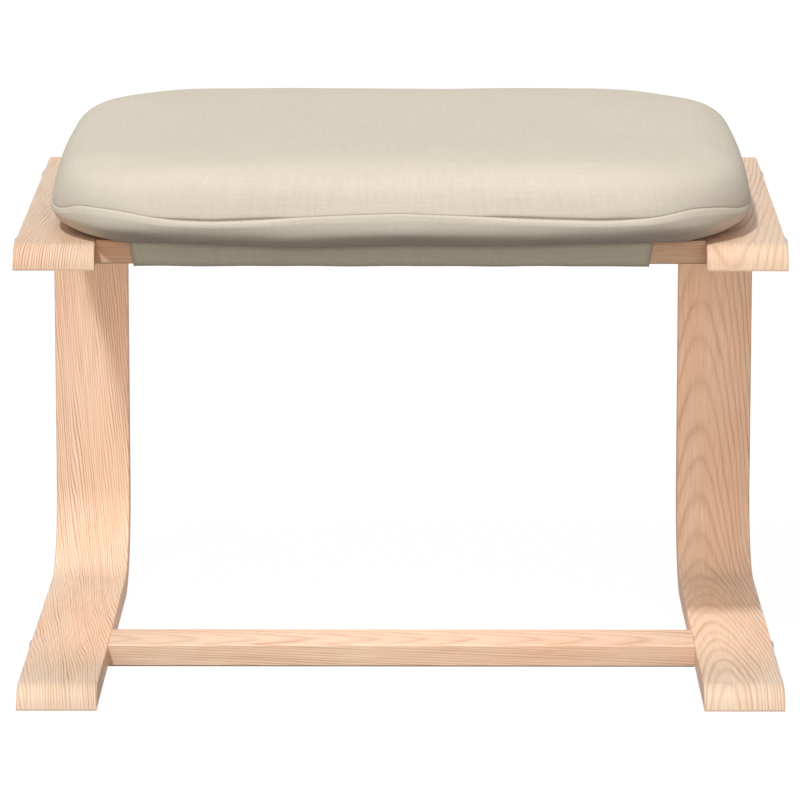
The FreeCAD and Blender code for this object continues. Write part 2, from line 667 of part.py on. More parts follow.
def zip_slider(label):
    body = new_body(label)
    channel = new_sketch(body, "slider_channel", "YZ_Plane")
    half = "(Sizes.chain_width / 2 + Sizes.slider_gap)"
    outer = f"({half} + Sizes.slider_wall)"
    top = f"-{plate_under} + Sizes.slider_wall"
    ceiling = f"-{plate_under}"
    foot = f"-{plate_under} - Sizes.slider_gap - Sizes.chain_rise * 0.5"
    draw_outline(channel, [
        (foot, f"-{outer}"), (top, f"-{outer}"), (top, outer), (foot, outer),
        (foot, half), (ceiling, half), (ceiling, f"-{half}"), (foot, f"-{half}"),
    ])
    pad(body, channel, "Sizes.slider_length", middle=True)
    side = new_sketch(body, "slider_bridge", "XY_Plane")
    reach, bar = "Sizes.slider_length / 2", "Sizes.bridge_bar"
    leg = f"({reach} - {bar})"
    crest, under = f"{bar} / 2", f"-{bar} / 2"
    draw_outline(side, [
        (f"-{reach}", top), (f"-{reach}", crest), (reach, crest), (reach, top),
        (leg, top), (leg, under), (f"-{leg}", under), (f"-{leg}", top),
    ])
    pad(body, side, bar, middle=True)
    place_at_zip(body)
    return body


def zip_pull(label):
    # a flat tab with an eye round the bridge, hanging straight down
    body = new_body(label)
    tab = new_sketch(body, "pull_tab", "XZ_Plane")
    bore = "(Sizes.bridge_bar / sqrt(2) + Sizes.pull_clearance)"
    eye = f"({bore} + Sizes.pull_eye_wall)"
    neck = "(Sizes.slider_length / 2 - Sizes.bridge_bar - Sizes.pull_side_room)"
    tip = "Sizes.pull_width / 2"
    shoulder = f"-{eye} - Sizes.pull_shoulder"
    draw_outline(tab, [
        (f"-{neck}", f"{eye}"), (neck, f"{eye}"), (neck, f"-{eye}"), (tip, shoulder),
        (tip, "-Sizes.pull_length"), (f"-{tip}", "-Sizes.pull_length"), (f"-{tip}", shoulder),
        (f"-{neck}", f"-{eye}"),
    ])
    pad(body, tab, "Sizes.pull_thickness", middle=True)
    ring = new_sketch(body, "pull_eye", "YZ_Plane")
    draw_circle(ring, "outside", "0", "0", f"2 * {eye}")
    pad(body, ring, f"2 * {neck}", middle=True)
    hole = new_sketch(body, "pull_hole", "YZ_Plane")
    draw_circle(hole, "hole", "0", "0", f"2 * {bore}")
    pocket(body, hole)
    place_at_zip(body)
    return body


def build_frame_pieces():
    pieces = [
        side_frame("side_frame_left", "-Sizes.frame_span / 2", "Sizes.strip_width", False),
        side_frame("side_frame_right", "Sizes.frame_span / 2 - Sizes.strip_width", None, True),
    ]
    joints = {"front_seat_rail": "Sizes.front_rail_setback", "rear_seat_rail": rear_setback,
              "low_stretcher": "Sizes.stretcher_setback"}
    for label, setback in joints.items():
        rail = cross_rail(label, setback)
        level = label == "low_stretcher"
        if level:
            place_level(rail, "0", front_of_stool, "0")
            y, z = f"{front_of_stool} + {rail_centre(setback)}", rail_middle
        else:
            place_on_seat(rail)
            y, z = seat_y(rail_centre(setback), rail_middle), seat_z(rail_centre(setback), rail_middle)
        pieces.append(rail)
        short = label.replace("_seat", "").replace("low_", "")
        for side in ("left", "right"):
            pieces.append(connecting_bolt(f"{short}_bolt_{side}", side, y, z))
            pieces.append(barrel_nut(f"{short}_barrel_nut_{side}", side, setback, level))
            for end, dowel_y, dowel_z in dowel_places(short, y, z):
                pieces.append(wooden_dowel(f"{short}_dowel_{end}_{side}", side, dowel_y, dowel_z))
    return pieces


def main():
    pieces = build_frame_pieces()
    pieces.append(seat_sling("seat_sling"))
    pieces += cushion_pieces()
    pieces.append(zip_slider("zip_slider"))
    pieces.append(zip_pull("zip_pull"))
    doc.recompute()
    for item in doc.Objects:
        if "Invalid" in item.State or "Error" in item.State:
            raise RuntimeError(f"{item.Label} failed: {item.State}")
    for piece in pieces:
        shape = piece.Shape
        if shape.isNull() or not shape.isValid() or len(shape.Solids) != 1:
            raise RuntimeError(f"{piece.Label} is not one valid solid: {len(shape.Solids)}")
    os.makedirs("parts", exist_ok=True)
    for piece in pieces:
        piece.Shape.exportStep(f"parts/{piece.Label}.step")
    box = pieces[0].Shape.BoundBox
    for piece in pieces:
        box.add(piece.Shape.BoundBox)
    print(f"{len(pieces)} pieces, {box.XLength:.1f} x {box.YLength:.1f} x {box.ZLength:.1f} mm")


main()
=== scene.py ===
# Bentwood footstool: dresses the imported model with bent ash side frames, oiled rails, bolts,
# a canvas seat sling and a boxed cushion with a zipped cover. Metres, Z up, front towards -Y.
import math
import bmesh
import bpy
import numpy as np
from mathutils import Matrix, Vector


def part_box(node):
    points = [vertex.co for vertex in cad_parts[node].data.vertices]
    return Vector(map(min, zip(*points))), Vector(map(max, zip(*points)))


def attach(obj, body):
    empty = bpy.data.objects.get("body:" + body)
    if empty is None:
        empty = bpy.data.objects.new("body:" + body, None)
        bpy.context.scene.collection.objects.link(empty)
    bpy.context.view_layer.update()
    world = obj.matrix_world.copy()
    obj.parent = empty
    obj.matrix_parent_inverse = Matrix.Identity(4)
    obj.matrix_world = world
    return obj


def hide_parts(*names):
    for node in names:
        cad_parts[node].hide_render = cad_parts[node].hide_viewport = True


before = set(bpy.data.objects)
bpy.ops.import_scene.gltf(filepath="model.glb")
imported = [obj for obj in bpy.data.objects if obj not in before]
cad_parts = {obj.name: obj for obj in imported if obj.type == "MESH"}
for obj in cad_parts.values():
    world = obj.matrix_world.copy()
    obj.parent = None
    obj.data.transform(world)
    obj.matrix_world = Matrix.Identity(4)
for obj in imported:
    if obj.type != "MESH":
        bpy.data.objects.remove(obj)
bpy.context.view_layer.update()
print("packed model loaded")
scene = bpy.context.scene
white = (1.0, 1.0, 1.0)


# Node trees
class Field:
    # a node's output that can be added, multiplied and so on like a number
    def __init__(self, tree, socket):
        self.tree = tree
        self.socket = socket

    def __add__(self, other):
        return self.tree.math("ADD", self, other)

    def __sub__(self, other):
        return self.tree.math("SUBTRACT", self, other)

    def __rsub__(self, other):
        return self.tree.math("SUBTRACT", other, self)

    def __mul__(self, other):
        return self.tree.math("MULTIPLY", self, other)

    def __truediv__(self, other):
        return self.tree.math("DIVIDE", self, other)


class Tree:
    # a node tree, with short ways to add its nodes
    def __init__(self, group):
        self.group = group

    def plug(self, socket, value):
        # joins a node, field or socket to an input, or sets it to a plain value
        if isinstance(value, bpy.types.Node):
            value = value.outputs[0]
        if isinstance(value, Field):
            value = value.socket
        if isinstance(value, bpy.types.NodeSocket):
            self.group.links.new(value, socket)
        else:
            socket.default_value = value

    def add(self, kind, inputs=None, **settings):
        # a shader node's kind is given without its first word
        node = self.group.nodes.new(kind if "Node" in kind else f"ShaderNode{kind}")
        for name, value in settings.items():
            setattr(node, name, value)
        for name, value in (inputs or {}).items():
            self.plug(node.inputs[name], value)
        return node

    def field(self, kind, inputs=None, output=0, **settings):
        return Field(self, self.add(kind, inputs, **settings).outputs[output])

    def math(self, operation, *values, clamp=False):
        return self.field("Math", dict(enumerate(values)), operation=operation, use_clamp=clamp)

    def combine(self, *parts):
        return self.add("CombineXYZ", dict(enumerate(parts)))

    def split(self, vector):
        return [Field(self, socket) for socket in self.add("SeparateXYZ", {0: vector}).outputs]

    def noise(self, vector, scale, detail=2.0, roughness=0.5):
        return self.field("TexNoise", {"Vector": vector, "Scale": scale, "Detail": detail,
            "Roughness": roughness})

    def ramp(self, factor, *stops):
        # stops are pairs of a place and a colour or grey level
        node = self.add("ValToRGB", {"Fac": factor})
        elements = node.color_ramp.elements
        while len(elements) < len(stops):
            elements.new(1.0)
        for element, (place, colour) in zip(elements, stops):
            element.position = place
            element.color = opaque(colour)
        return Field(self, node.outputs[0])

    def mix(self, share, first, second, blend="MIX"):
        inputs = {0: share, 6: first, 7: second}
        for place, value in inputs.items():
            inputs[place] = opaque(value) if isinstance(value, tuple) else value
        return self.add("Mix", inputs, data_type="RGBA", blend_type=blend).outputs[2]

    def finish(self, colour, height, strength, distance):
        # colour and fine relief of a material's shader
        bump = self.add("Bump", {"Height": height, "Strength": strength, "Distance": distance})
        self.plug(self.shader.inputs["Base Color"], colour)
        self.plug(self.shader.inputs["Normal"], bump)


def opaque(colour):
    # a colour or a grey level with nothing see-through
    return (*colour, 1.0) if isinstance(colour, tuple) else (colour, colour, colour, 1.0)


def either(share, first, second):
    # the first field where share is 1, the second where it is 0
    return share * first + (1.0 - share) * second


def emptyTree(owner):
    owner.use_nodes = True
    owner.node_tree.nodes.clear()
    return Tree(owner.node_tree)


def newMaterial(name, settings):
    material = bpy.data.materials.new(name)
    tree = emptyTree(material)
    tree.shader = tree.add("BsdfPrincipled", settings)
    tree.output = tree.add("OutputMaterial", {"Surface": tree.shader})
    return material, tree


def objectPlace(tree):
    return tree.add("TexCoord").outputs["Object"]


# Objects and meshes
def addObject(name, data):
    made = bpy.data.objects.new(name, data)
    scene.collection.objects.link(made)
    return made


def meshObject(name, vertices, faces, material=None):
    mesh = bpy.data.meshes.new(name)
    mesh.from_pydata(np.asarray(vertices).tolist(), [], np.asarray(faces).tolist())
    mesh.update()
    mesh.shade_smooth()
    if material:
        mesh.materials.append(material)
    return addObject(name, mesh)


def gridFaces(index):
    # quads between the rows and columns of a grid of point numbers
    corners = [index[:-1, :-1], index[1:, :-1], index[1:, 1:], index[:-1, 1:]]
    return np.stack(corners, axis=-1).reshape(-1, 4)


def setCornerUv(mesh, places):
    layer = mesh.uv_layers.new(name="clothPlace")
    layer.data.foreach_set("uv", places.ravel())


def smoothStep(low, high, value):
    t = np.clip((np.asarray(value, float) - low) / (high - low), 0.0, 1.0)
    return t * t * (3 - 2 * t)


# Stage, light and camera
studio = {
    "floorWidth": 9.0,
    "floorDrop": 0.0002,  # floor just under the soles
    "floorGrey": 0.06,  # what the floor gives back to the object
    "floorGlow": 1.02,  # what the camera sees of it
    "shadowShare": 0.05,  # how much of the shadow the camera sees on the white floor
    "worldLevel": 0.56,
    "worldColour": (1.0, 0.93, 0.87),
}
lamps = {
    # the angle in degrees gives the sun a soft shadow edge
    "keyLamp": {"kind": "SUN", "place": (-0.25, -0.66, 0.87), "target": (0.0, 0.0, 0.0), "power": 2.47,
                "colour": (0.9, 0.98, 1.0), "angle": 4.0},
    "frontLamp": {"kind": "AREA", "place": (0.0, -2.8, 0.7), "target": (0.0, 0.0, 0.2), "power": 27.0,
                  "colour": (1.0, 0.95, 0.92), "size": (2.6, 0.8)},
    # small warm fill between the side frames
    "bayLamp": {"kind": "AREA", "place": (0.0, -0.13, 0.17), "target": (0.0, 0.2, 0.15), "power": 0.66,
                "colour": (1.0, 0.77, 0.62), "size": (0.36, 0.14)},
}
photographCamera = {
    "place": (0.0159, -3.4221, 0.79),
    "tilt": 79.65,
    "turn": 0.287,
    "lens": 234.0,
    "sensor": 36.0,
}


def makeCamera():
    shape = photographCamera
    camera = bpy.data.cameras.new("photographCamera")
    camera.lens = shape["lens"]
    camera.sensor_width = shape["sensor"]
    holder = addObject("photographCamera", camera)
    holder.location = shape["place"]
    holder.rotation_euler = (math.radians(shape["tilt"]), 0.0, math.radians(shape["turn"]))
    scene.camera = holder


def seesBackground(tree):
    # 1 for what the camera, mirrors and glass see, 0 for light that falls on the object
    path = tree.add("LightPath")
    seen = Field(tree, path.outputs["Is Camera Ray"]) + Field(tree, path.outputs["Is Glossy Ray"])
    return tree.math("ADD", seen, path.outputs["Is Transmission Ray"], clamp=True)


def makeFloor():
    half, drop = studio["floorWidth"] / 2, -studio["floorDrop"]
    corners = [(-half, -half, drop), (half, -half, drop), (half, half, drop), (-half, half, drop)]
    material, tree = newMaterial("studioFloor", {"Base Color": opaque(studio["floorGrey"]),
        "Roughness": 0.9, "Specular IOR Level": 0.0})
    plainWhite = tree.add("Emission", {"Color": opaque(white), "Strength": studio["floorGlow"]})
    paleFloor = tree.add("BsdfDiffuse", {"Color": opaque(0.95)})
    seenFloor = tree.add("MixShader", {0: studio["shadowShare"], 1: plainWhite, 2: paleFloor})
    both = tree.add("MixShader", {0: seesBackground(tree), 1: tree.shader, 2: seenFloor})
    clear = tree.add("BsdfTransparent")
    behind = tree.add("NewGeometry").outputs["Backfacing"]
    tree.plug(tree.output.inputs["Surface"], tree.add("MixShader", {0: behind, 1: both, 2: clear}))
    floor = meshObject("studioFloor", corners, [(0, 1, 2, 3)], material)


def makeWorld():
    world = bpy.data.worlds.new("studioWorld")
    scene.world = world
    tree = emptyTree(world)
    seen = seesBackground(tree)
    level = seen * (1.0 - studio["worldLevel"]) + studio["worldLevel"]
    tint = tree.mix(seen, studio["worldColour"], white)
    background = tree.add("Background", {"Color": tint, "Strength": level})
    tree.add("OutputWorld", {"Surface": background})


def addLamp(name, shape):
    lamp = bpy.data.lights.new(name, shape["kind"])
    lamp.energy = shape["power"]
    lamp.color = shape["colour"]
    if shape["kind"] == "SUN":
        lamp.angle = math.radians(shape["angle"])
    else:
        lamp.shape = "RECTANGLE"
        lamp.size, lamp.size_y = shape["size"]
    holder = addObject(name, lamp)
    holder.location = shape["place"]
    aim = Vector(shape["target"]) - Vector(shape["place"])
    holder.rotation_euler = aim.to_track_quat("-Z", "Y").to_euler()
    holder.visible_camera = holder.visible_glossy = False


scene.view_settings.view_transform = "Standard"
makeCamera()
makeFloor()
makeWorld()
for name, shape in lamps.items():
    addLamp(name, shape)
print("stage, light and camera ready")


# Wood
woodLook = {
    "pale": (0.763, 0.607, 0.471),  # early wood
    "line": (0.378, 0.187, 0.103),  # dense late wood of a growth ring
    "fibre": (0.58, 0.372, 0.251),
    "flush": (0.759, 0.5, 0.348),  # slow pinkish drift of the colour
    "side": (0.673, 0.417, 0.265),  # sawn sides of a strip with the veneers' edges, darker and more orange than the faces: partly real edge grain, partly painted shade
    "flushShare": 0.75,
    "fibreShare": 0.62,
    "lineShare": 1.05,
    "ringSpacing": 0.0017,
    "relief": 0.00025,
}


def grainNoise(tree, place, stretch, scale, detail=2.0, roughness=0.5):
    # noise that is drawn out along the grain
    across, along, through = place
    return tree.noise(tree.combine(across, along * stretch, through), scale, detail, roughness)


def growthRings(tree, place, heart, drift, depth, rise, wobble, ripple):
    # how dense the late wood is, 0 to 1. The rings are cut nearly along the board: heart is their centre
    # across it, drift how fast that centre moves aside, depth how far under the face it lies, and rise
    # how fast the cut climbs, which draws the arches
    across, along, through = place
    sway = (grainNoise(tree, place, 0.11, 28.0, 3.0, 0.55) - 0.5) * (wobble * 8)
    waver = (grainNoise(tree, place, 0.35, 150.0) - 0.5) * ripple
    sideways = across - heart - along * drift + sway
    below = along * rise + through + depth + sway * 0.15
    radius = tree.math("SQRT", sideways * sideways + below * below) + waver
    uneven = tree.noise(tree.combine(radius, 0.3, 0.7), 330.0, 1.0) * 0.9
    turns = radius / woodLook["ringSpacing"] + uneven
    chance = tree.field("TexWhiteNoise", {"W": tree.math("FLOOR", turns)}, noise_dimensions="1D")
    late = tree.ramp(tree.math("FRACT", turns), (0.0, 0.45), (0.14, 0.06), (0.5, 0.0), (0.72, 0.35),
        (0.88, 1.0), (1.0, 0.6))
    patch = tree.ramp(grainNoise(tree, place, 0.25, 60.0), (0.32, 0.45), (0.66, 1.0))
    # the lines are dense and dark where the cut crosses the rings, and soft where it runs along them
    steep = tree.math("ABSOLUTE", sideways) / radius * 0.75 + 0.4
    return late * patch * steep * (chance * 0.45 + 0.55)


def woodMaterial(name, placeOf, heart, depth, rise, drift=0.0, wobble=0.0012, ripple=0.0005, contrast=1.0,
        plies=0.0, tint=white):
    # placeOf gives across, along and through the board as three fields
    material, tree = newMaterial(name, {"Roughness": 0.52, "Specular IOR Level": 0.35})
    place = across, _, through = placeOf(tree)
    late = growthRings(tree, place, heart, drift, depth, rise, wobble, ripple)
    coarse = tree.ramp(grainNoise(tree, place, 0.03, 800.0, 2.5, 0.6), (0.34, 1.0), (0.6, 0.0))
    fine = tree.ramp(grainNoise(tree, place, 0.02, 2400.0, 2.0, 0.6), (0.36, 1.0), (0.6, 0.0))
    fibre = coarse * 0.55 + fine * 0.45
    broad = tree.ramp(grainNoise(tree, place, 0.3, 22.0), (0.36, 0.0), (0.64, 1.0))
    colour = tree.mix(broad * woodLook["flushShare"], woodLook["pale"], woodLook["flush"])
    colour = tree.mix(fibre * woodLook["fibreShare"], colour, woodLook["fibre"])
    colour = tree.mix(late * (woodLook["lineShare"] * contrast), colour, woodLook["line"])
    if plies:
        # the sides take the darker, more orange side colour, partly the veneers' edge grain and partly
        # painted shade; dark glue lines run between the veneers
        edge = tree.math("GREATER_THAN", tree.math("ABSOLUTE", across), stripShape["width"] / 2 - 0.0004)
        glue = tree.math("COMPARE", tree.math("FRACT", through / plies + 0.5), 0.5, 0.07)
        colour = tree.mix(edge * 0.75, colour, woodLook["side"])
        colour = tree.mix(glue * edge * 0.4, colour, woodLook["line"])
    # the tint multiplies the colour; on the rails it is painted shade
    tinted = tree.mix(1.0, colour, tint, "MULTIPLY")
    tree.finish(tinted, late * -0.6 + fibre * -0.4, 0.25, woodLook["relief"])
    return material


def stripPlace(tree):
    return tree.split(tree.add("Attribute", attribute_name="grainPlace").outputs["Vector"])


def railPlace(tree):
    # a rail's grain runs across the stool
    x, y, z = tree.split(objectPlace(tree))
    return y, x, z


# Side frames, one strip each, bent twice
stripShape = {
    "width": 0.0515,
    "thickness": 0.015,
    "lowBend": 0.0625,  # radius of the strip's middle between runner and post
    "highBend": 0.0425,  # and between post and arm
    "noseRadius": 0.0163,
    "noseTip": 0.0012,  # least thickness of a front end
    "edgeRadius": 0.0013,
    "spacing": 0.002,  # between two rings of the swept mesh
}
plyThickness = 0.0015
armSlope = math.radians(2.2)
armFront = (-0.1795, 0.2805)  # underside of the arm's front end, y and z
seatUp = (0.0, -math.sin(armSlope), math.cos(armSlope))
# where each strip was cut: ring centre across it, depth under the face, climb along it
sideGrain = {
    "left": {"heart": -0.06, "drift": -0.09, "depth": 0.022, "rise": 0.016, "wobble": 0.0018,
             "ripple": 0.0006},
    "right": {"heart": -0.0105, "depth": 0.014, "rise": 0.06, "wobble": 0.0014, "ripple": 0.0004},
}


def seatPoint(x, along, above):
    # from the sloping seat's own measures to the stool's: along the arm from its front end, and
    # above its underside
    y0, z0 = armFront
    y = y0 + along * math.cos(armSlope) - above * math.sin(armSlope)
    z = z0 + along * math.sin(armSlope) + above * math.cos(armSlope)
    return np.stack(np.broadcast_arrays(x, y, z), axis=-1)


def stripCentreLine(side):
    # four corners of the strip's middle line: runner's end, the two bends, arm's end
    low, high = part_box(f"side_frame_{side}")
    half = stripShape["thickness"] / 2
    middle, back = (low.x + high.x) / 2, high.y - half
    end = seatPoint(middle, 0.0, half)
    bend = end[2] + (back - end[1]) * math.tan(armSlope)
    return [(middle, low.y, half), (middle, back, half), (middle, back, bend), end]


def newTree(name, values):
    # a group of geometry nodes with an input for each value
    group = bpy.data.node_groups.new(name, "GeometryNodeTree")
    kinds = {"Geometry": "Geometry"}
    for label, value in values.items():
        kinds[label] = {float: "Float", tuple: "Vector"}.get(type(value), "Material")
    for label, kind in kinds.items():
        group.interface.new_socket(label, in_out="INPUT", socket_type=f"NodeSocket{kind}")
    group.interface.new_socket("Geometry", in_out="OUTPUT", socket_type="NodeSocketGeometry")
    tree = Tree(group)
    return tree, tree.add("NodeGroupInput").outputs


def finishTree(tree, geometry, material):
    # real meshes in their material leave the group
    real = tree.add("GeometryNodeRealizeInstances", {"Geometry": geometry})
    dressed = tree.add("GeometryNodeSetMaterial", {"Geometry": real, "Material": material})
    tree.add("NodeGroupOutput", {0: dressed})
    return tree.group


def growMesh(name, points, group, values):
    # runs a node group on a line and keeps the result as a plain mesh piece
    curve = bpy.data.curves.new(name, "CURVE")
    curve.dimensions = "3D"
    spline = curve.splines.new("POLY")
    spline.points.add(len(points) - 1)
    spline.points.foreach_set("co", np.hstack([points, np.ones((len(points), 1))]).ravel())
    line = addObject(name, curve)
    modifier = line.modifiers.new("grow", "NODES")
    modifier.node_group = group
    for item in group.interface.items_tree:
        if item.in_out == "INPUT" and item.name in values:
            modifier[item.identifier] = values[item.name]
    view = bpy.context.evaluated_depsgraph_get()
    mesh = bpy.data.meshes.new_from_object(line.evaluated_get(view))
    bpy.data.objects.remove(line)
    mesh.name = name
    mesh.shade_smooth()
    return addObject(name, mesh)


def moveAlong(tree, geometry, moves):
    # moves points by the sum of each direction times its amount
    offset = (0.0, 0.0, 0.0)
    for direction, amount in moves:
        step = tree.add("VectorMath", {0: direction, "Scale": amount}, operation="SCALE")
        offset = tree.add("VectorMath", {0: step, 1: offset}, operation="ADD")
    return tree.add("GeometryNodeSetPosition", {"Geometry": geometry, "Offset": offset})


def keep(tree, geometry, name, value, kind="FLOAT"):
    return tree.add("GeometryNodeStoreNamedAttribute", {"Geometry": geometry, "Name": name, "Value": value},
        data_type=kind, domain="POINT")


def kept(tree, name, kind="FLOAT"):
    return tree.field("GeometryNodeInputNamedAttribute", {"Name": name}, "Attribute", data_type=kind)


def sweptStrip(tree, given):
    # the middle line rounded at its two bends, with a rectangle of softened corners swept along it
    index = tree.field("GeometryNodeInputIndex")
    lowBend = tree.math("COMPARE", index, 1.0, 0.1) * given["lowBend"]
    highBend = tree.math("COMPARE", index, 2.0, 0.1) * given["highBend"]
    rounded = tree.add("GeometryNodeFilletCurve", {"Curve": given["Geometry"], "Radius": lowBend + highBend,
        "Count": 48}, mode="POLY")
    path = tree.add("GeometryNodeResampleCurve", {"Curve": rounded, "Length": given["spacing"]},
        mode="LENGTH")
    path = keep(tree, path, "alongStrip", tree.add("GeometryNodeSplineParameter").outputs["Length"])
    path = keep(tree, path, "stripLength", tree.add("GeometryNodeSplineLength").outputs["Length"])
    section = tree.add("GeometryNodeCurvePrimitiveQuadrilateral", {"Width": given["width"],
        "Height": given["thickness"]}, mode="RECTANGLE")
    section = tree.add("GeometryNodeFilletCurve", {"Curve": section, "Count": 4,
        "Radius": given["edgeRadius"]}, mode="POLY")
    section = keep(tree, section, "stripSection", tree.add("GeometryNodeInputPosition"), "FLOAT_VECTOR")
    return tree.add("GeometryNodeCurveToMesh", {"Curve": path, "Profile Curve": section, "Fill Caps": True})


def bentStripTree(values):
    tree, given = newTree("bentStrip", values)
    mesh = sweptStrip(tree, given)
    thick, nose = Field(tree, given["thickness"]), Field(tree, given["noseRadius"])
    across, outward, _ = tree.split(kept(tree, "stripSection", "FLOAT_VECTOR"))
    inward = outward * -1.0
    along, length = kept(tree, "alongStrip"), kept(tree, "stripLength")
    # rounds each front end over from its upper face, as an arc of the nose radius about a centre below it
    run = tree.math("SQRT", nose * nose - (nose - thick) * (nose - thick))
    startTurn = math.pi - tree.math("ARCSINE", (nose - thick) / nose)
    arcLength = (startTurn - math.pi / 2) * nose
    settled = arcLength * 3
    armUp = given["armUp"]
    armBack = tree.add("VectorMath", {0: armUp, 1: (1.0, 0.0, 0.0)}, operation="CROSS_PRODUCT")
    ends = (
        (along, inward + thick / 2, (0.0, 0.0, 1.0), (0.0, 1.0, 0.0)),
        (length - along, thick / 2 - inward, armUp, armBack),
    )
    for fromEnd, above, up, back in ends:
        onArc = tree.math("LESS_THAN", fromEnd, arcLength)
        turn = startTurn - fromEnd / nose
        settling = tree.field("MapRange", {"Value": fromEnd, "From Min": arcLength, "To Min": run,
            "From Max": settled, "To Max": settled}, "Result")
        straightRun = either(tree.math("GREATER_THAN", fromEnd, settled), fromEnd, settling)
        newRun = either(onArc, run + nose * tree.math("COSINE", turn), straightRun)
        arcTop = tree.math("MAXIMUM", thick - nose + nose * tree.math("SINE", turn), given["noseTip"])
        newAbove = above * either(onArc, arcTop, thick) / thick
        mesh = moveAlong(tree, mesh, ((up, newAbove - above), (back, newRun - fromEnd)))
    grain = keep(tree, mesh, "grainPlace", tree.combine(across, along, inward), "FLOAT_VECTOR")
    return finishTree(tree, grain, given["wood"])


def outwardNormals(mesh):
    shell = bmesh.new()
    shell.from_mesh(mesh)
    bmesh.ops.remove_doubles(shell, verts=shell.verts, dist=1e-6)
    bmesh.ops.recalc_face_normals(shell, faces=shell.faces)
    shell.to_mesh(mesh)
    shell.free()


def makeSideFrames():
    for side, grain in sideGrain.items():
        wood = woodMaterial(f"bentAsh_{side}", stripPlace, plies=plyThickness, **grain)
        values = {**stripShape, "armUp": seatUp, "wood": wood}
        strip = growMesh(f"{side}_side_frame", stripCentreLine(side), bentStripTree(values), values)
        outwardNormals(strip.data)
        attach(strip, "stool")
        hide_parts(f"side_frame_{side}")


makeSideFrames()
print("side frames bent")


# Rails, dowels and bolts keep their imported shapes
railLook = {
    # each rail's tint is painted shade: warmer and darker on the seat rails, which lie in the cushion's
    # shade, a little darker on the stretcher to dim it under the lamps
    "front_seat_rail": {"heart": -0.17, "depth": 0.03, "rise": 0.01, "wobble": 0.001,
                        "tint": (1.0, 0.88, 0.78)},
    "rear_seat_rail": {"heart": 0.17, "depth": 0.024, "rise": -0.012, "wobble": 0.0012,
                       "tint": (1.0, 0.88, 0.78)},
    "low_stretcher": {"heart": -0.062, "depth": 0.06, "rise": 0.045, "wobble": 0.0016,
                      "tint": (0.9, 0.88, 0.87)},
}


def setMaterial(node, material):
    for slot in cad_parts[node].material_slots:
        slot.material = material


def metalMaterial(name, colour, roughness, brushed=0.05):
    material, tree = newMaterial(name, {"Metallic": 1.0})
    cloud = tree.noise(objectPlace(tree), 900.0, 3.0)
    tree.plug(tree.shader.inputs["Roughness"], cloud * brushed + (roughness - brushed / 2))
    tree.finish(tree.mix(cloud, tuple(part * 0.82 for part in colour), colour), cloud, 0.08, 0.0001)
    return material


def makeFrameFinishes():
    for node, look in railLook.items():
        setMaterial(node, woodMaterial(f"railAsh_{node}", railPlace, contrast=1.5, **look))
    fasteners = {
        "_dowel_": woodMaterial("dowelBeech", railPlace, heart=0.02, depth=0.05, rise=0.01, contrast=0.6),
        "_bolt_": metalMaterial("boltSteel", (0.56, 0.56, 0.57), 0.34),
        "_barrel_nut_": metalMaterial("barrelNutZinc", (0.66, 0.65, 0.6), 0.42),
    }
    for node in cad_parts:
        for mark, material in fasteners.items():
            if mark in node:
                setMaterial(node, material)


makeFrameFinishes()
print("rails and fasteners finished")


# Cloth
clothLook = {
    "threadWidth": 0.00062,  # one thread of the plain weave
    "relief": 0.0003,
    # dark and light threads of each cloth
    "coverCanvas": ((0.511, 0.45, 0.367), (0.629, 0.562, 0.468)),
    # the sling's canvas is darker than the cover's as painted shade: its sleeve lies in the shade of the
    # cushion's overhang
    "shadedSlingCanvas": ((0.462, 0.425, 0.331), (0.566, 0.528, 0.417)),
    "zipTape": ((0.46, 0.41, 0.32), (0.56, 0.5, 0.39)),
}


def clothMaterial(name):
    # plain weave on the piece's own UV map, which is in metres of cloth
    material, tree = newMaterial(name, {"Roughness": 0.88, "Specular IOR Level": 0.15, "Sheen Weight": 0.12,
        "Sheen Roughness": 0.5})
    unrolled = tree.add("UVMap", uv_map="clothPlace")
    u, v, _ = tree.split(unrolled)
    across, along = (tree.math("SINE", place * (math.pi / clothLook["threadWidth"])) for place in (u, v))
    warp, weft = (tree.math("ABSOLUTE", wave) for wave in (along, across))
    weave = either(tree.math("GREATER_THAN", across * along, 0.0), warp, weft)
    # slubs: threads that are a little thicker or darker for a few centimetres
    slubs = [tree.noise(tree.combine(u * scaleU, v * scaleV, 0.0), 620.0, 2.0, 0.6)
        for scaleU, scaleV in ((1.0, 0.05), (0.05, 1.0))]
    slubbing = (slubs[0] + slubs[1]) * 0.5
    cloud, mottle = tree.noise(unrolled, 26.0, 3.0), tree.noise(unrolled, 420.0)
    tone = (slubbing - 0.5) * 1.3 + (cloud - 0.5) * 0.3 + (mottle - 0.5) * 0.5 + weave * 0.22
    share = tree.math("ADD", tone, 0.52, clamp=True)
    tree.finish(tree.mix(share, *clothLook[name]), weave * 0.6 + slubbing * 0.8, 0.35, clothLook["relief"])
    return material


def clothStrip(name, points, unrolled, material, thickness):
    # one cloth from a grid of points and each one's place on the flat cloth
    faces = gridFaces(np.arange(points[..., 0].size).reshape(points.shape[:2]))[:, [0, 3, 2, 1]]
    strip = meshObject(name, points.reshape(-1, 3), faces, material)
    setCornerUv(strip.data, unrolled.reshape(-1, 2)[faces])
    wall = strip.modifiers.new("thickness", "SOLIDIFY")
    wall.thickness = thickness
    wall.offset = 0.0
    return strip


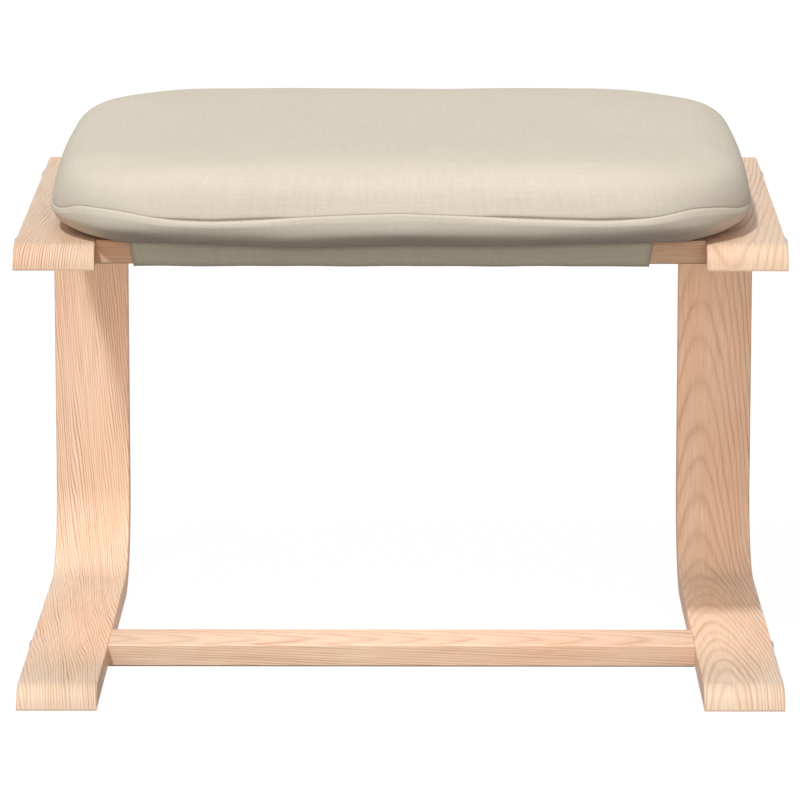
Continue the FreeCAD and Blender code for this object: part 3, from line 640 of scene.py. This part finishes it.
# Cushion
cushionShape = {
    "width": 0.4486,
    "depth": 0.3542,
    "overhang": 0.0158,  # ahead of the arm's front end
    "cornerRadius": 0.08742,
    "sideBow": 0.0021,  # the sides stand out this much in their middle
    "cornerTaper": 0.5,  # loss of corner radius for each metre of inset
    "thickness": 0.0521,
    "widestHeight": 0.0152,
    "baseInset": 0.0125,
    "baseRoll": 2.2,  # how late the side rolls under
    "frontRoll": 0.0062,  # further inset of the base along the front, where it hangs free
    "sideLean": 0.0122,
    "crownReach": 0.1,
    "crownPower": 10.0,
    "crownRoot": 2.69,
    "baseAbove": 0.0168,  # base of the cushion above the arm's underside
    "backSeam": 0.0205,  # height of the top seam at the sides and the back
    "baseSeam": 0.0005,
    "seamDepth": 0.0005,
    "seamWidth": 0.00045,
    "openDepth": 0.0022,  # where the seam gapes
    "bandBulge": 0.0007,
    "pucker": 0.00016,
    "restInset": 0.12,  # the base is flat inside this
    "step": 0.006,  # about one mesh cell
    "foamStep": 0.012,
    "foamSkin": 0.004,  # the foam lies this far inside the cover
}
# height of the top seam along the front: place across the stool, height above the base
seamLine = [(-0.2245, 0.016), (-0.219, 0.0163), (-0.215, 0.0172), (-0.21, 0.02), (-0.205, 0.0224),
    (-0.18, 0.0229), (-0.15, 0.019), (-0.12, 0.0176), (-0.08, 0.0192), (-0.04, 0.0213), (0.0, 0.0226),
    (0.045, 0.0209), (0.09, 0.0193), (0.125, 0.0184), (0.16, 0.0196), (0.185, 0.0235), (0.205, 0.0213),
    (0.215, 0.0176), (0.2245, 0.0165)]
seamOpenings = [(-0.155, -0.066), (0.045, 0.16)]
# how far the lower front edge hangs between the arms
frontDroop = [(-0.19, 0.0), (-0.15, 0.001), (-0.11, 0.0021), (-0.07, 0.0031), (-0.035, 0.0019),
    (0.0, 0.0008), (0.035, 0.0012), (0.065, 0.0019), (0.1, 0.0016), (0.14, 0.0009), (0.19, 0.0)]
zipShape = {
    "length": 0.3,
    "height": 0.012,  # middle of the zip above the cushion's base
    "tapeHeight": 0.009,
    "tapeThickness": 0.0006,
    "recess": 0.0016,  # the cover steps back behind the tape
    "toothPitch": 0.0018,
    "toothRise": 0.0013,
    "chainWidth": 0.0032,
}


def cushionProfile():
    # the side in section: heights above the base, insets from the widest line, lengths along the cloth
    shape = cushionShape
    widest, power, root = shape["widestHeight"], shape["crownPower"], shape["crownRoot"]
    below = np.linspace(1, 0, 60)
    climb = np.linspace(0, 1, 400)[1:]
    share = np.unique(np.concatenate([climb, (1 - (1 - climb) ** root) ** (1 / power)]))
    crown = 1 - (1 - share ** power) ** (1 / root)
    heights = np.concatenate([widest * (1 - below), widest + (shape["thickness"] - widest) * share])
    insets = np.concatenate([shape["baseInset"] * below ** shape["baseRoll"],
        shape["sideLean"] * share ** 2 + shape["crownReach"] * crown])
    steps = np.hypot(np.diff(heights), np.diff(insets))
    return heights, insets, np.concatenate([[0], np.cumsum(steps)])


class CushionForm:
    # the rings' rounded rectangle, from the middle of its front left corner round by the front
    def __init__(self, step):
        shape = cushionShape
        straight = [size - 2 * shape["cornerRadius"] for size in (shape["width"], shape["depth"])]
        self.sides = [2 * round(length / step / 2) for length in straight]
        self.corner = 2 * round(shape["cornerRadius"] * math.pi / 2 / step / 2)
        half = self.corner // 2
        columns = []
        for number in range(5):
            for k in range(half if number == 0 else 0, half if number == 4 else self.corner):
                columns.append((number % 4, -math.pi + (number + k / self.corner) * math.pi / 2, 0.0))
            count = self.sides[number % 2] if number < 4 else 0
            columns += [(number, (number - 1) * math.pi / 2, k / count) for k in range(count)]
        self.quadrant, self.angle, self.slide = (np.array(values) for values in zip(*columns))
        self.count = len(columns)
        self.outward = np.column_stack([np.cos(self.angle), np.sin(self.angle)])
        self.rim = self.points(0.0)
        gaps = np.linalg.norm(np.diff(self.rim, axis=0, append=self.rim[:1]), axis=1)
        self.around = np.cumsum(gaps) - gaps
        self.perimeter = gaps.sum()

    def points(self, inset):
        shape = cushionShape
        radius = max(shape["cornerRadius"] - shape["cornerTaper"] * inset, 0.006)
        reach = np.array([shape["width"] / 2, shape["depth"] / 2]) - inset - radius
        signs = np.array([(-1, -1), (1, -1), (1, 1), (-1, 1)])
        start, following = signs[self.quadrant], signs[(self.quadrant + 1) % 4]
        centre = (start + (following - start) * self.slide[:, None]) * reach
        bow = shape["sideBow"] * np.sin(math.pi * self.slide) * (self.quadrant % 2)
        return centre + self.outward * (radius + bow)[:, None] + (0, shape["depth"] / 2 - shape["overhang"])

    def waves(self, seed, longest, shortest):
        # a smooth random line round the outline, about -1 to 1
        chance = np.random.default_rng(seed)
        line = np.zeros(self.count)
        for turns in range(int(self.perimeter / longest), int(self.perimeter / shortest)):
            line += chance.normal() * np.sin(2 * math.pi * turns * self.around / self.perimeter
                + chance.uniform(0, 2 * math.pi))
        return line / np.abs(line).max()


def smoothLoop(values, width):
    kernel = np.hanning(width + 2)[1:-1]
    padded = np.concatenate([values[-(width // 2):], values, values[:width // 2]])
    return np.convolve(padded, kernel / kernel.sum(), mode="valid")


def seamHeights(form):
    shape = cushionShape
    nearFront = smoothStep(-0.06, -0.11, form.rim[:, 1] - shape["depth"] / 2 + shape["overhang"])
    front = np.interp(form.rim[:, 0], *np.array(seamLine).T)
    back = shape["backSeam"] + 0.0006 * form.waves(5, 0.4, 0.12)
    return smoothLoop(front * nearFront + back * (1 - nearFront), 3)


def seamOpening(form):
    # 1 where the front seam gapes, 0 elsewhere
    gaping = np.zeros(form.count)
    for start, end in seamOpenings:
        middle, half = (start + end) / 2, (end - start) / 2
        gaping += smoothStep(half, half * 0.6, np.abs(form.rim[:, 0] - middle))
    return gaping * (form.rim[:, 1] < 0.01 - cushionShape["overhang"])


def ringStations(profile, seam, base, fine):
    # (panel, length along the cloth) of each ring, from the crown's flat down to the flat of the base
    heights, _, lengths = profile
    total = lengths[-1]
    down = list(np.linspace(1, 0.05, 21)) + ([0.028, 0.014, 0.0065, 0.0028] if fine else [])
    rings = [("top", seam + (total - seam) * share) for share in down] + [("band", seam)]
    across = [0.75, 0.5, 0.25]
    if fine:
        # close rings at both seams and at the edges of the zip's tape
        backWidth = np.interp(cushionShape["backSeam"], heights, lengths) - base.mean()
        edges = [zipShape["height"] + side * zipShape["tapeHeight"] for side in (-0.5, 0.5)]
        lips = [edge + offset for edge in edges for offset in (-0.00035, 0.00035)]
        across = [0.985, 0.965, 0.93, 0.88, 0.62, 0.5, 0.36, 0.16, 0.08, 0.03]
        across += [(np.interp(lip, heights, lengths) - base.mean()) / backWidth for lip in lips]
    rings += [("band", base + (seam - base) * share) for share in sorted(across, reverse=True)]
    return rings + [("base", base * share) for share in (1.0, 0.5, 0.0)]


def clothRelief(form, panel, length, height, seam, base):
    # how far the cloth stands out from the plain form, in one ring
    shape = cushionShape
    away = np.minimum(np.abs(length - seam), np.abs(length - base) + 0.0002)
    opening = seamOpening(form)
    depth = shape["seamDepth"] + (shape["openDepth"] - shape["seamDepth"]) * opening
    relief = -depth * np.exp(-(away / (shape["seamWidth"] * (1 + 0.6 * opening))) ** 2)
    gathers = shape["pucker"] * form.waves(3, 0.03, 0.01)
    relief += gathers * np.exp(-away / 0.008) * (1 - np.exp(-away / 0.001))
    if panel == "band":
        up = np.clip((length - base) / (seam - base), 0, 1)
        relief += shape["bandBulge"] * np.sin(math.pi * up) ** 0.6
    inside = np.abs(form.rim[:, 0]) < zipShape["length"] / 2
    inside &= np.abs(height - zipShape["height"]) < zipShape["tapeHeight"] / 2
    return np.where(inside & (form.rim[:, 1] > 0.25), -zipShape["recess"], relief)


def underRoll(form):
    # further inset of the base where the front hangs free between the arms
    x, y = form.rim.T
    beside = 1 + 0.75 * smoothStep(0.05, 0.13, np.abs(x))
    return cushionShape["frontRoll"] * beside * smoothStep(0.19, 0.16, np.abs(x)) * smoothStep(0.02, 0.0, y)


def droop(flat):
    return np.interp(flat[:, 0], *np.array(frontDroop).T) * smoothStep(0.03, 0.0, flat[:, 1])


def cushionRings(form, skin, fine):
    # every ring's panel, points, places on the unrolled panels, and way down the cloth from the crown
    shape = cushionShape
    profile = cushionProfile()
    heights, insets, lengths = profile
    seam = np.interp(seamHeights(form), heights, lengths)
    base = np.full(form.count, np.interp(shape["baseSeam"], heights, lengths))
    inner = form.points(insets[-1])
    roll = underRoll(form) if fine else np.zeros(form.count)
    squeeze = 1 - 2 * skin / shape["thickness"]
    rings = []
    for panel, length in ringStations(profile, seam, base, fine):
        height = np.interp(length, lengths, heights)
        inset = np.interp(length, lengths, insets)
        push = inset.mean() - inset - skin
        if fine:
            push = push + clothRelief(form, panel, length, height, seam, base)
        below = np.clip(1 - height / shape["widestHeight"], 0, 1)
        push = push - roll * below ** shape["baseRoll"]
        flat = form.points(inset.mean()) + form.outward * push[:, None]
        hang = droop(flat) * smoothStep(0.019, 0.004, height) if fine else 0.0
        points = np.column_stack([flat, skin + height * squeeze - hang])
        places = {"top": inner + form.outward * (lengths[-1] - length)[:, None],
            "band": np.column_stack([form.around, length]), "base": flat}
        rings.append((panel, points, places, lengths[-1] - length))
    for inset in np.linspace(shape["baseInset"] + 0.002, shape["restInset"], 14 if fine else 3):
        tuck = roll * smoothStep(0.05, 0.014, inset)
        flat = form.points(inset + skin) - form.outward * tuck[:, None]
        hang = droop(flat) if fine else 0.0
        points = np.column_stack([flat, np.full(form.count, skin) - hang])
        rings.append(("base", points, {"base": flat}, np.full(form.count, lengths[-1] + inset)))
    return rings


def patchGrid(form, loop):
    # fills a closed loop with a grid, blended from its four sides
    nX, nY = (side + form.corner for side in form.sides)
    closed = np.concatenate([loop, loop[:1]])
    front, right = closed[:nX + 1], closed[nX:nX + nY + 1]
    back, left = closed[nX + nY:2 * nX + nY + 1][::-1], closed[2 * nX + nY:][::-1]
    u = np.linspace(0, 1, nX + 1)[:, None, None]
    v = np.linspace(0, 1, nY + 1)[None, :, None]
    grid = (1 - v) * front[:, None] + v * back[:, None] + (1 - u) * left[None] + u * right[None]
    return grid - ((1 - u) * (1 - v) * front[0] + u * (1 - v) * front[-1]
        + (1 - u) * v * back[0] + u * v * back[-1])


def ringFaces(form, rings):
    # quads between each two rings, with one place on the unrolled cloth for each of their corners
    index = np.arange(len(rings) * form.count).reshape(len(rings), -1)
    corners = []
    for ring, following in zip(rings, rings[1:]):
        panel = ring[0]
        once = (form.perimeter, 0.0) if panel == "band" else (0.0, 0.0)
        upper, lower = (np.vstack([places[panel], places[panel][:1] + once])
            for places in (ring[2], following[2]))
        corners.append(np.stack([upper[:-1], lower[:-1], lower[1:], upper[1:]], axis=1))
    return gridFaces(np.hstack([index, index[:, :1]])), np.concatenate(corners)


def fillLoop(form, loop, unrolled, firstIndex, nextIndex, upwards):
    # new points, quads and unrolled places that close one end of the rings
    grid, placeGrid = patchGrid(form, loop), patchGrid(form, unrolled)
    nX, nY = grid.shape[0] - 1, grid.shape[1] - 1
    border = firstIndex + np.arange(2 * (nX + nY))
    index = np.empty((nX + 1, nY + 1), int)
    index[1:-1, 1:-1] = nextIndex + np.arange((nX - 1) * (nY - 1)).reshape(nX - 1, nY - 1)
    index[:-1, 0], index[-1, :-1] = border[:nX], border[nX:nX + nY]
    index[:0:-1, -1], index[0, :0:-1] = border[nX + nY:-nY], border[-nY:]
    cells = gridFaces(np.arange(index.size).reshape(index.shape))
    cells = cells if upwards else cells[:, ::-1]
    return grid[1:-1, 1:-1].reshape(-1, 3), index.ravel()[cells], placeGrid.reshape(-1, 2)[cells]


def cushionShell(form, skin, fine):
    # rings, then the crown's grid and the base's grid, as points, faces and unrolled places
    rings = cushionRings(form, skin, fine)
    shell = (np.concatenate([ring[1] for ring in rings]), *ringFaces(form, rings))
    for place, upwards in ((0, True), (len(rings) - 1, False)):
        panel, loop, places, _ = rings[place]
        more = fillLoop(form, loop, places[panel], place * form.count, len(shell[0]), upwards)
        shell = [np.concatenate(pair) for pair in zip(shell, more)]
    return rings, *shell


def crownWaves(points):
    # slow hollows and swells of the filling under the top panel
    x, y, z = points.T
    swell = np.sin(x * 23 + 0.7) * np.sin(y * 29 + 0.4) + 0.6 * np.sin(x * 47 + y * 31 + 1.1)
    return 0.00025 * swell * smoothStep(0.034, 0.05, z)


puff = {
    "frames": 20,
    "cap": 0.0006,  # most that a point of the band may move
    "crownCap": 0.0013,  # and of the crown
}
puffCloth = {
    "quality": 6,
    "mass": 0.25,
    "use_pressure": True,
    "uniform_pressure_force": 4.0,
    "shrink_min": -0.012,  # the cloth is cut this much larger than the form
    "vertex_group_mass": "held",
}


def heldPoints(form, rings, count):
    # the sewn seams and everything under the cushion stay where they are
    held = np.zeros(count)
    panels = [ring[0] for ring in rings]
    for number, (before, panel) in enumerate(zip(panels[:1] + panels, panels)):
        if panel != before or panel == "base":
            held[number * form.count:(number + 1) * form.count] = 1.0
    nX, nY = (side + form.corner - 1 for side in form.sides)
    held[-nX * nY:] = 1.0
    return held


def puffMovement(points, faces, held):
    # blows the closed shell up as cloth and gives each point's movement, held back to the cap
    work = meshObject("puffWork", points, faces)
    group = work.vertex_groups.new(name="held")
    group.add(np.flatnonzero(held).tolist(), 1.0, "REPLACE")
    cloth = work.modifiers.new("puff", "CLOTH")
    for name, value in puffCloth.items():
        setattr(cloth.settings, name, value)
    cloth.settings.effector_weights.gravity = 0.0
    cloth.point_cache.frame_end = puff["frames"]
    for number in range(1, puff["frames"] + 1):
        scene.frame_set(number)
    view = bpy.context.evaluated_depsgraph_get()
    reached = np.empty(points.size)
    work.evaluated_get(view).data.vertices.foreach_get("co", reached)
    movement = reached.reshape(-1, 3) - points
    scene.frame_set(1)
    bpy.data.objects.remove(work)
    cap = puff["cap"] + (puff["crownCap"] - puff["cap"]) * smoothStep(0.022, 0.05, points[:, 2])
    size = np.linalg.norm(movement, axis=1) + 1e-9
    return movement * (cap * np.tanh(size / cap) / size)[:, None]


def carryMovement(form, plainRings, movement, rings):
    # from the plain shell's points to those of the shell with seams, which share columns and grids
    n = form.count
    known = movement[:len(plainRings) * n].reshape(-1, n, 3)
    for number, ring in enumerate(known):
        # evens out the corners' small creases, more and more from the crown's edge down
        even = np.column_stack([smoothLoop(ring[:, axis], 9) for axis in range(3)])
        known[number] += (even - ring) * min(number / 5, 1.0)
    knownTravel, travel = (np.array([ring[3] for ring in shell]) for shell in (plainRings, rings))
    carried = np.empty((len(rings), n, 3))
    for column, axis in np.ndindex(n, 3):
        carried[:, column, axis] = np.interp(travel[:, column], knownTravel[:, column],
            known[:, column, axis])
    return np.concatenate([carried.reshape(-1, 3), movement[len(plainRings) * n:]])


def placeOnSeat(points):
    return seatPoint(points[:, 0], points[:, 1], points[:, 2] + cushionShape["baseAbove"])


def makeCushionCover(material):
    form = CushionForm(cushionShape["step"])
    plainRings, plainPoints, plainFaces, _ = cushionShell(form, 0.0, False)
    movement = puffMovement(plainPoints, plainFaces, heldPoints(form, plainRings, len(plainPoints)))
    rings, points, faces, corners = cushionShell(form, 0.0, True)
    points = points + carryMovement(form, plainRings, movement, rings)
    points[:, 2] += crownWaves(points)
    cover = meshObject("cushion_cover", placeOnSeat(points), faces, material)
    setCornerUv(cover.data, corners)
    finer = cover.modifiers.new("finer", "SUBSURF")
    finer.levels = finer.render_levels = 1
    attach(cover, "stool")
    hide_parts("cover_top_panel", "cover_side_band", "cover_base_panel")


def foamMaterial():
    material, tree = newMaterial("foam", {"Roughness": 0.95})
    cells = tree.field("TexVoronoi", {"Vector": objectPlace(tree), "Scale": 900.0}, "Distance")
    tone = tree.ramp(cells, (0.0, (0.62, 0.58, 0.44)), (0.6, (0.82, 0.79, 0.66)))
    tree.finish(tone, cells, 0.5, 0.0004)
    return material


def makeFoamBlock():
    form = CushionForm(cushionShape["foamStep"])
    _, points, faces, _ = cushionShell(form, cushionShape["foamSkin"], False)
    block = meshObject("foam_block", placeOnSeat(points), faces, foamMaterial())
    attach(block, "stool")
    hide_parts("cushion_core")


makeCushionCover(clothMaterial("coverCanvas"))
makeFoamBlock()
print("cushion made")


# Seat sling, one cloth with a sleeve round each seat rail
slingShape = {
    "width": 0.332,
    "middle": -0.006,  # it sits a little to the left
    "railDepth": 0.046,
    "railHeight": 0.015,
    "frontRail": 0.023,  # front of each rail along the arm
    "rearRail": 0.2685,
    "clearance": 0.0009,  # middle of the cloth off the wood
    "hang": 0.0013,  # middle of the cloth under the rails
    "hem": 0.012,  # sleeve's end sewn under the web
    "thickness": 0.001,
    "taper": 0.0021,  # how far a sleeve's lower corners draw in
    "cornerCut": 0.0011,
    "step": 0.004,
}


def slingPath():
    # middle of the cloth seen from the side, from one sleeve's hem to the other's
    shape = slingShape
    off, low = shape["clearance"], -shape["hang"]
    top = shape["railHeight"] + off
    under = top - shape["thickness"] * 1.15
    front, rear = shape["frontRail"], shape["rearRail"]
    end = front + shape["railDepth"]
    half = [(end + shape["hem"] + 0.003, under), (end + 0.003, under), (end + off, under - 0.002),
        (end + off, low + 0.0015), (end - 0.001, low), (front + 0.001, low), (front - off, low + 0.0015),
        (front - off, top - 0.0015), (front + 0.001, top)]
    mirrored = [(end + rear - y, z) for y, z in reversed(half)]
    corners = np.array(half + [((end + rear) / 2, top)] + mirrored)
    for _ in range(2):
        # cut the corners off twice, which rounds them
        before, after = corners[:-1], corners[1:]
        reach = np.linalg.norm(after - before, axis=1)[:, None]
        cut = np.minimum(shape["cornerCut"], reach * 0.25) / reach
        pairs = np.stack([before + (after - before) * cut, after - (after - before) * cut], axis=1)
        corners = np.concatenate([corners[:1], pairs.reshape(-1, 2)[1:-1], corners[-1:]])
    lengths = np.concatenate([[0], np.cumsum(np.linalg.norm(np.diff(corners, axis=0), axis=1))])
    dense = np.unique(np.concatenate([lengths, np.arange(0, lengths[-1], shape["step"])]))
    return np.column_stack([np.interp(dense, lengths, corners[:, i]) for i in (0, 1)]), dense


def makeSling(material):
    shape = slingShape
    path, lengths = slingPath()
    across = np.linspace(-0.5, 0.5, round(shape["width"] / shape["step"]) + 1) * shape["width"]
    unrolled = np.stack(np.meshgrid(across, lengths), axis=-1)
    x, y = np.meshgrid(across, path[:, 0])
    z = np.broadcast_to(path[:, 1:], x.shape).copy()
    lowShare = smoothStep(shape["railHeight"], 0.0, z)
    x *= 1 - lowShare * shape["taper"] / (shape["width"] / 2)
    z += lowShare * (0.00012 * np.sin(x * 71 + 0.4) + 0.0001 * np.sin(x * 133 + 1.9))
    up = np.clip(z / shape["railHeight"], 0, 1)
    bulge = 0.00045 * np.sin(up * math.pi) * (1 + 0.4 * np.sin(x * 58))
    bulge -= 0.0003 * np.exp(-((up - 0.28) / 0.08) ** 2) * (0.7 + 0.3 * np.sin(x * 33 + 1.0))
    inFront = smoothStep(shape["frontRail"] + 0.004, shape["frontRail"] - 0.0005, y)
    rearEnd = shape["rearRail"] + shape["railDepth"]
    y += (smoothStep(rearEnd - 0.004, rearEnd + 0.0005, y) - inFront) * bulge
    points = seatPoint(x + shape["middle"], y, z)
    sling = clothStrip("seat_sling_cloth", points, unrolled, material, shape["thickness"])
    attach(sling, "stool")
    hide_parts("seat_sling")


makeSling(clothMaterial("shadedSlingCanvas"))
print("sling hung")


# Zip: tape and teeth in the back of the side band
def backOfCushion(x, height):
    # along the arm, the cushion's back at a place across and a height above the base
    shape = cushionShape
    heights, insets, _ = cushionProfile()
    past = np.maximum(np.abs(x) - (shape["width"] / 2 - shape["cornerRadius"]), 0.0)
    cornerDrop = shape["cornerRadius"] - np.sqrt(shape["cornerRadius"] ** 2 - past ** 2)
    return shape["depth"] - shape["overhang"] - np.interp(height, heights, insets) - cornerDrop


def zipPoints(x, rise, out):
    # rise from the zip's middle, out from the tape's face
    height = zipShape["height"] + rise
    return seatPoint(x, backOfCushion(x, height) + out, height + cushionShape["baseAbove"])


def makeZipTape(material):
    across = np.linspace(-0.5, 0.5, 101) * zipShape["length"]
    rises = np.linspace(-0.5, 0.5, 9) * zipShape["tapeHeight"]
    x, rise = np.meshgrid(across, rises, indexing="ij")
    points = zipPoints(x, rise, -zipShape["tapeThickness"] / 2 - 0.0001)
    tape = clothStrip("zip_tape_cloth", points, np.stack([x, rise], axis=-1), material,
        zipShape["tapeThickness"])
    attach(tape, "stool")
    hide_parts("zip_tape")


def blockRowTree(name, values, crease, sides):
    # rounded blocks along a line, in one row or in two that take turns
    tree, given = newTree(name, values)
    block = tree.add("GeometryNodeMeshCube", {"Size": given["Size"]})
    rounded = tree.add("GeometryNodeSubdivisionSurface", {"Mesh": block, "Level": 1, "Edge Crease": crease})
    tangent = tree.add("GeometryNodeInputTangent")
    turned = tree.add("FunctionNodeAlignRotationToVector", {"Vector": tangent}, axis="X")
    pitch = Field(tree, given["Pitch"])
    rows = tree.add("GeometryNodeJoinGeometry")
    for side in sides:
        line = tree.add("GeometryNodeResampleCurve", {"Curve": given["Geometry"], "Length": pitch},
            mode="LENGTH")
        moved = moveAlong(tree, line, ((given["Up"], side), (tangent, pitch * (0.25 * side))))
        laid = tree.add("GeometryNodeInstanceOnPoints", {"Points": moved, "Instance": rounded,
            "Rotation": turned})
        tree.plug(rows.inputs[0], laid)
    return finishTree(tree, rows, given["Look"])


def makeZipTeeth(metal):
    shape = zipShape
    reach = shape["length"] / 2 - 0.002
    points = zipPoints(np.linspace(-reach, reach, 80), 0.0, shape["toothRise"] / 2)
    toRow = tuple(shape["chainWidth"] * 0.19 * part for part in seatUp)
    size = (shape["toothPitch"] * 0.62, shape["toothRise"] * 0.96, shape["chainWidth"] * 0.6)
    values = {"Pitch": shape["toothPitch"], "Up": toRow, "Size": size, "Look": metal}
    teeth = growMesh("zip_teeth", points, blockRowTree("zipTeeth", values, 0.55, (1.0, -1.0)), values)
    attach(teeth, "stool")


# Stitches: thread laid in short lengths along a line
stitchLook = {
    "pitch": 0.0034,
    "length": 0.0026,
    "thread": 0.00042,
    "colour": (0.62, 0.57, 0.46),
    "slingRows": (0.0055, 0.0125),  # from the rail's edge
}


def stitchLines():
    # name, slot and points of each row
    sling = slingShape
    frontEnd = sling["frontRail"] + sling["railDepth"]
    top = sling["railHeight"] + sling["clearance"] + sling["thickness"] / 2
    faces = {"upper": top, "lower": top - sling["thickness"] * 2.15}
    across = np.linspace(-0.5, 0.5, 60) * (sling["width"] - 0.006) + sling["middle"]
    rows = []
    for place, end, away in (("front", frontEnd, 1), ("rear", sling["rearRail"], -1)):
        for number, distance in enumerate(stitchLook["slingRows"], 1):
            for face, above in faces.items():
                points = seatPoint(across, end + away * distance, above)
                rows.append((f"sling_stitches_{place}_{face}_{number}", "sling_cloth", points))
    inset = zipShape["tapeHeight"] / 2 - 0.0009
    along = np.linspace(-0.5, 0.5, 60) * (zipShape["length"] - 0.004)
    for edge, rise in (("upper", inset), ("lower", -inset)):
        rows.append((f"zip_stitches_{edge}", "zip_tape", zipPoints(along, rise, 0.0)))
    return rows


def makeStitches():
    look = stitchLook
    thread, _ = newMaterial("thread", {"Base Color": opaque(look["colour"]), "Roughness": 0.8,
        "Sheen Weight": 0.1})
    size = (look["length"], look["thread"], look["thread"])
    values = {"Pitch": look["pitch"], "Up": seatUp, "Size": size, "Look": thread}
    tree = blockRowTree("stitchRow", values, 0.3, (0.0,))
    for name, slot, points in stitchLines():
        row = growMesh(name, points, tree, values)
        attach(row, "stool")


zipMetal = metalMaterial("zipBrass", (0.62, 0.56, 0.44), 0.32)
for node in ("zip_slider", "zip_pull"):
    setMaterial(node, zipMetal)
makeZipTape(clothMaterial("zipTape"))
makeZipTeeth(zipMetal)
makeStitches()
print("zip and stitches made")
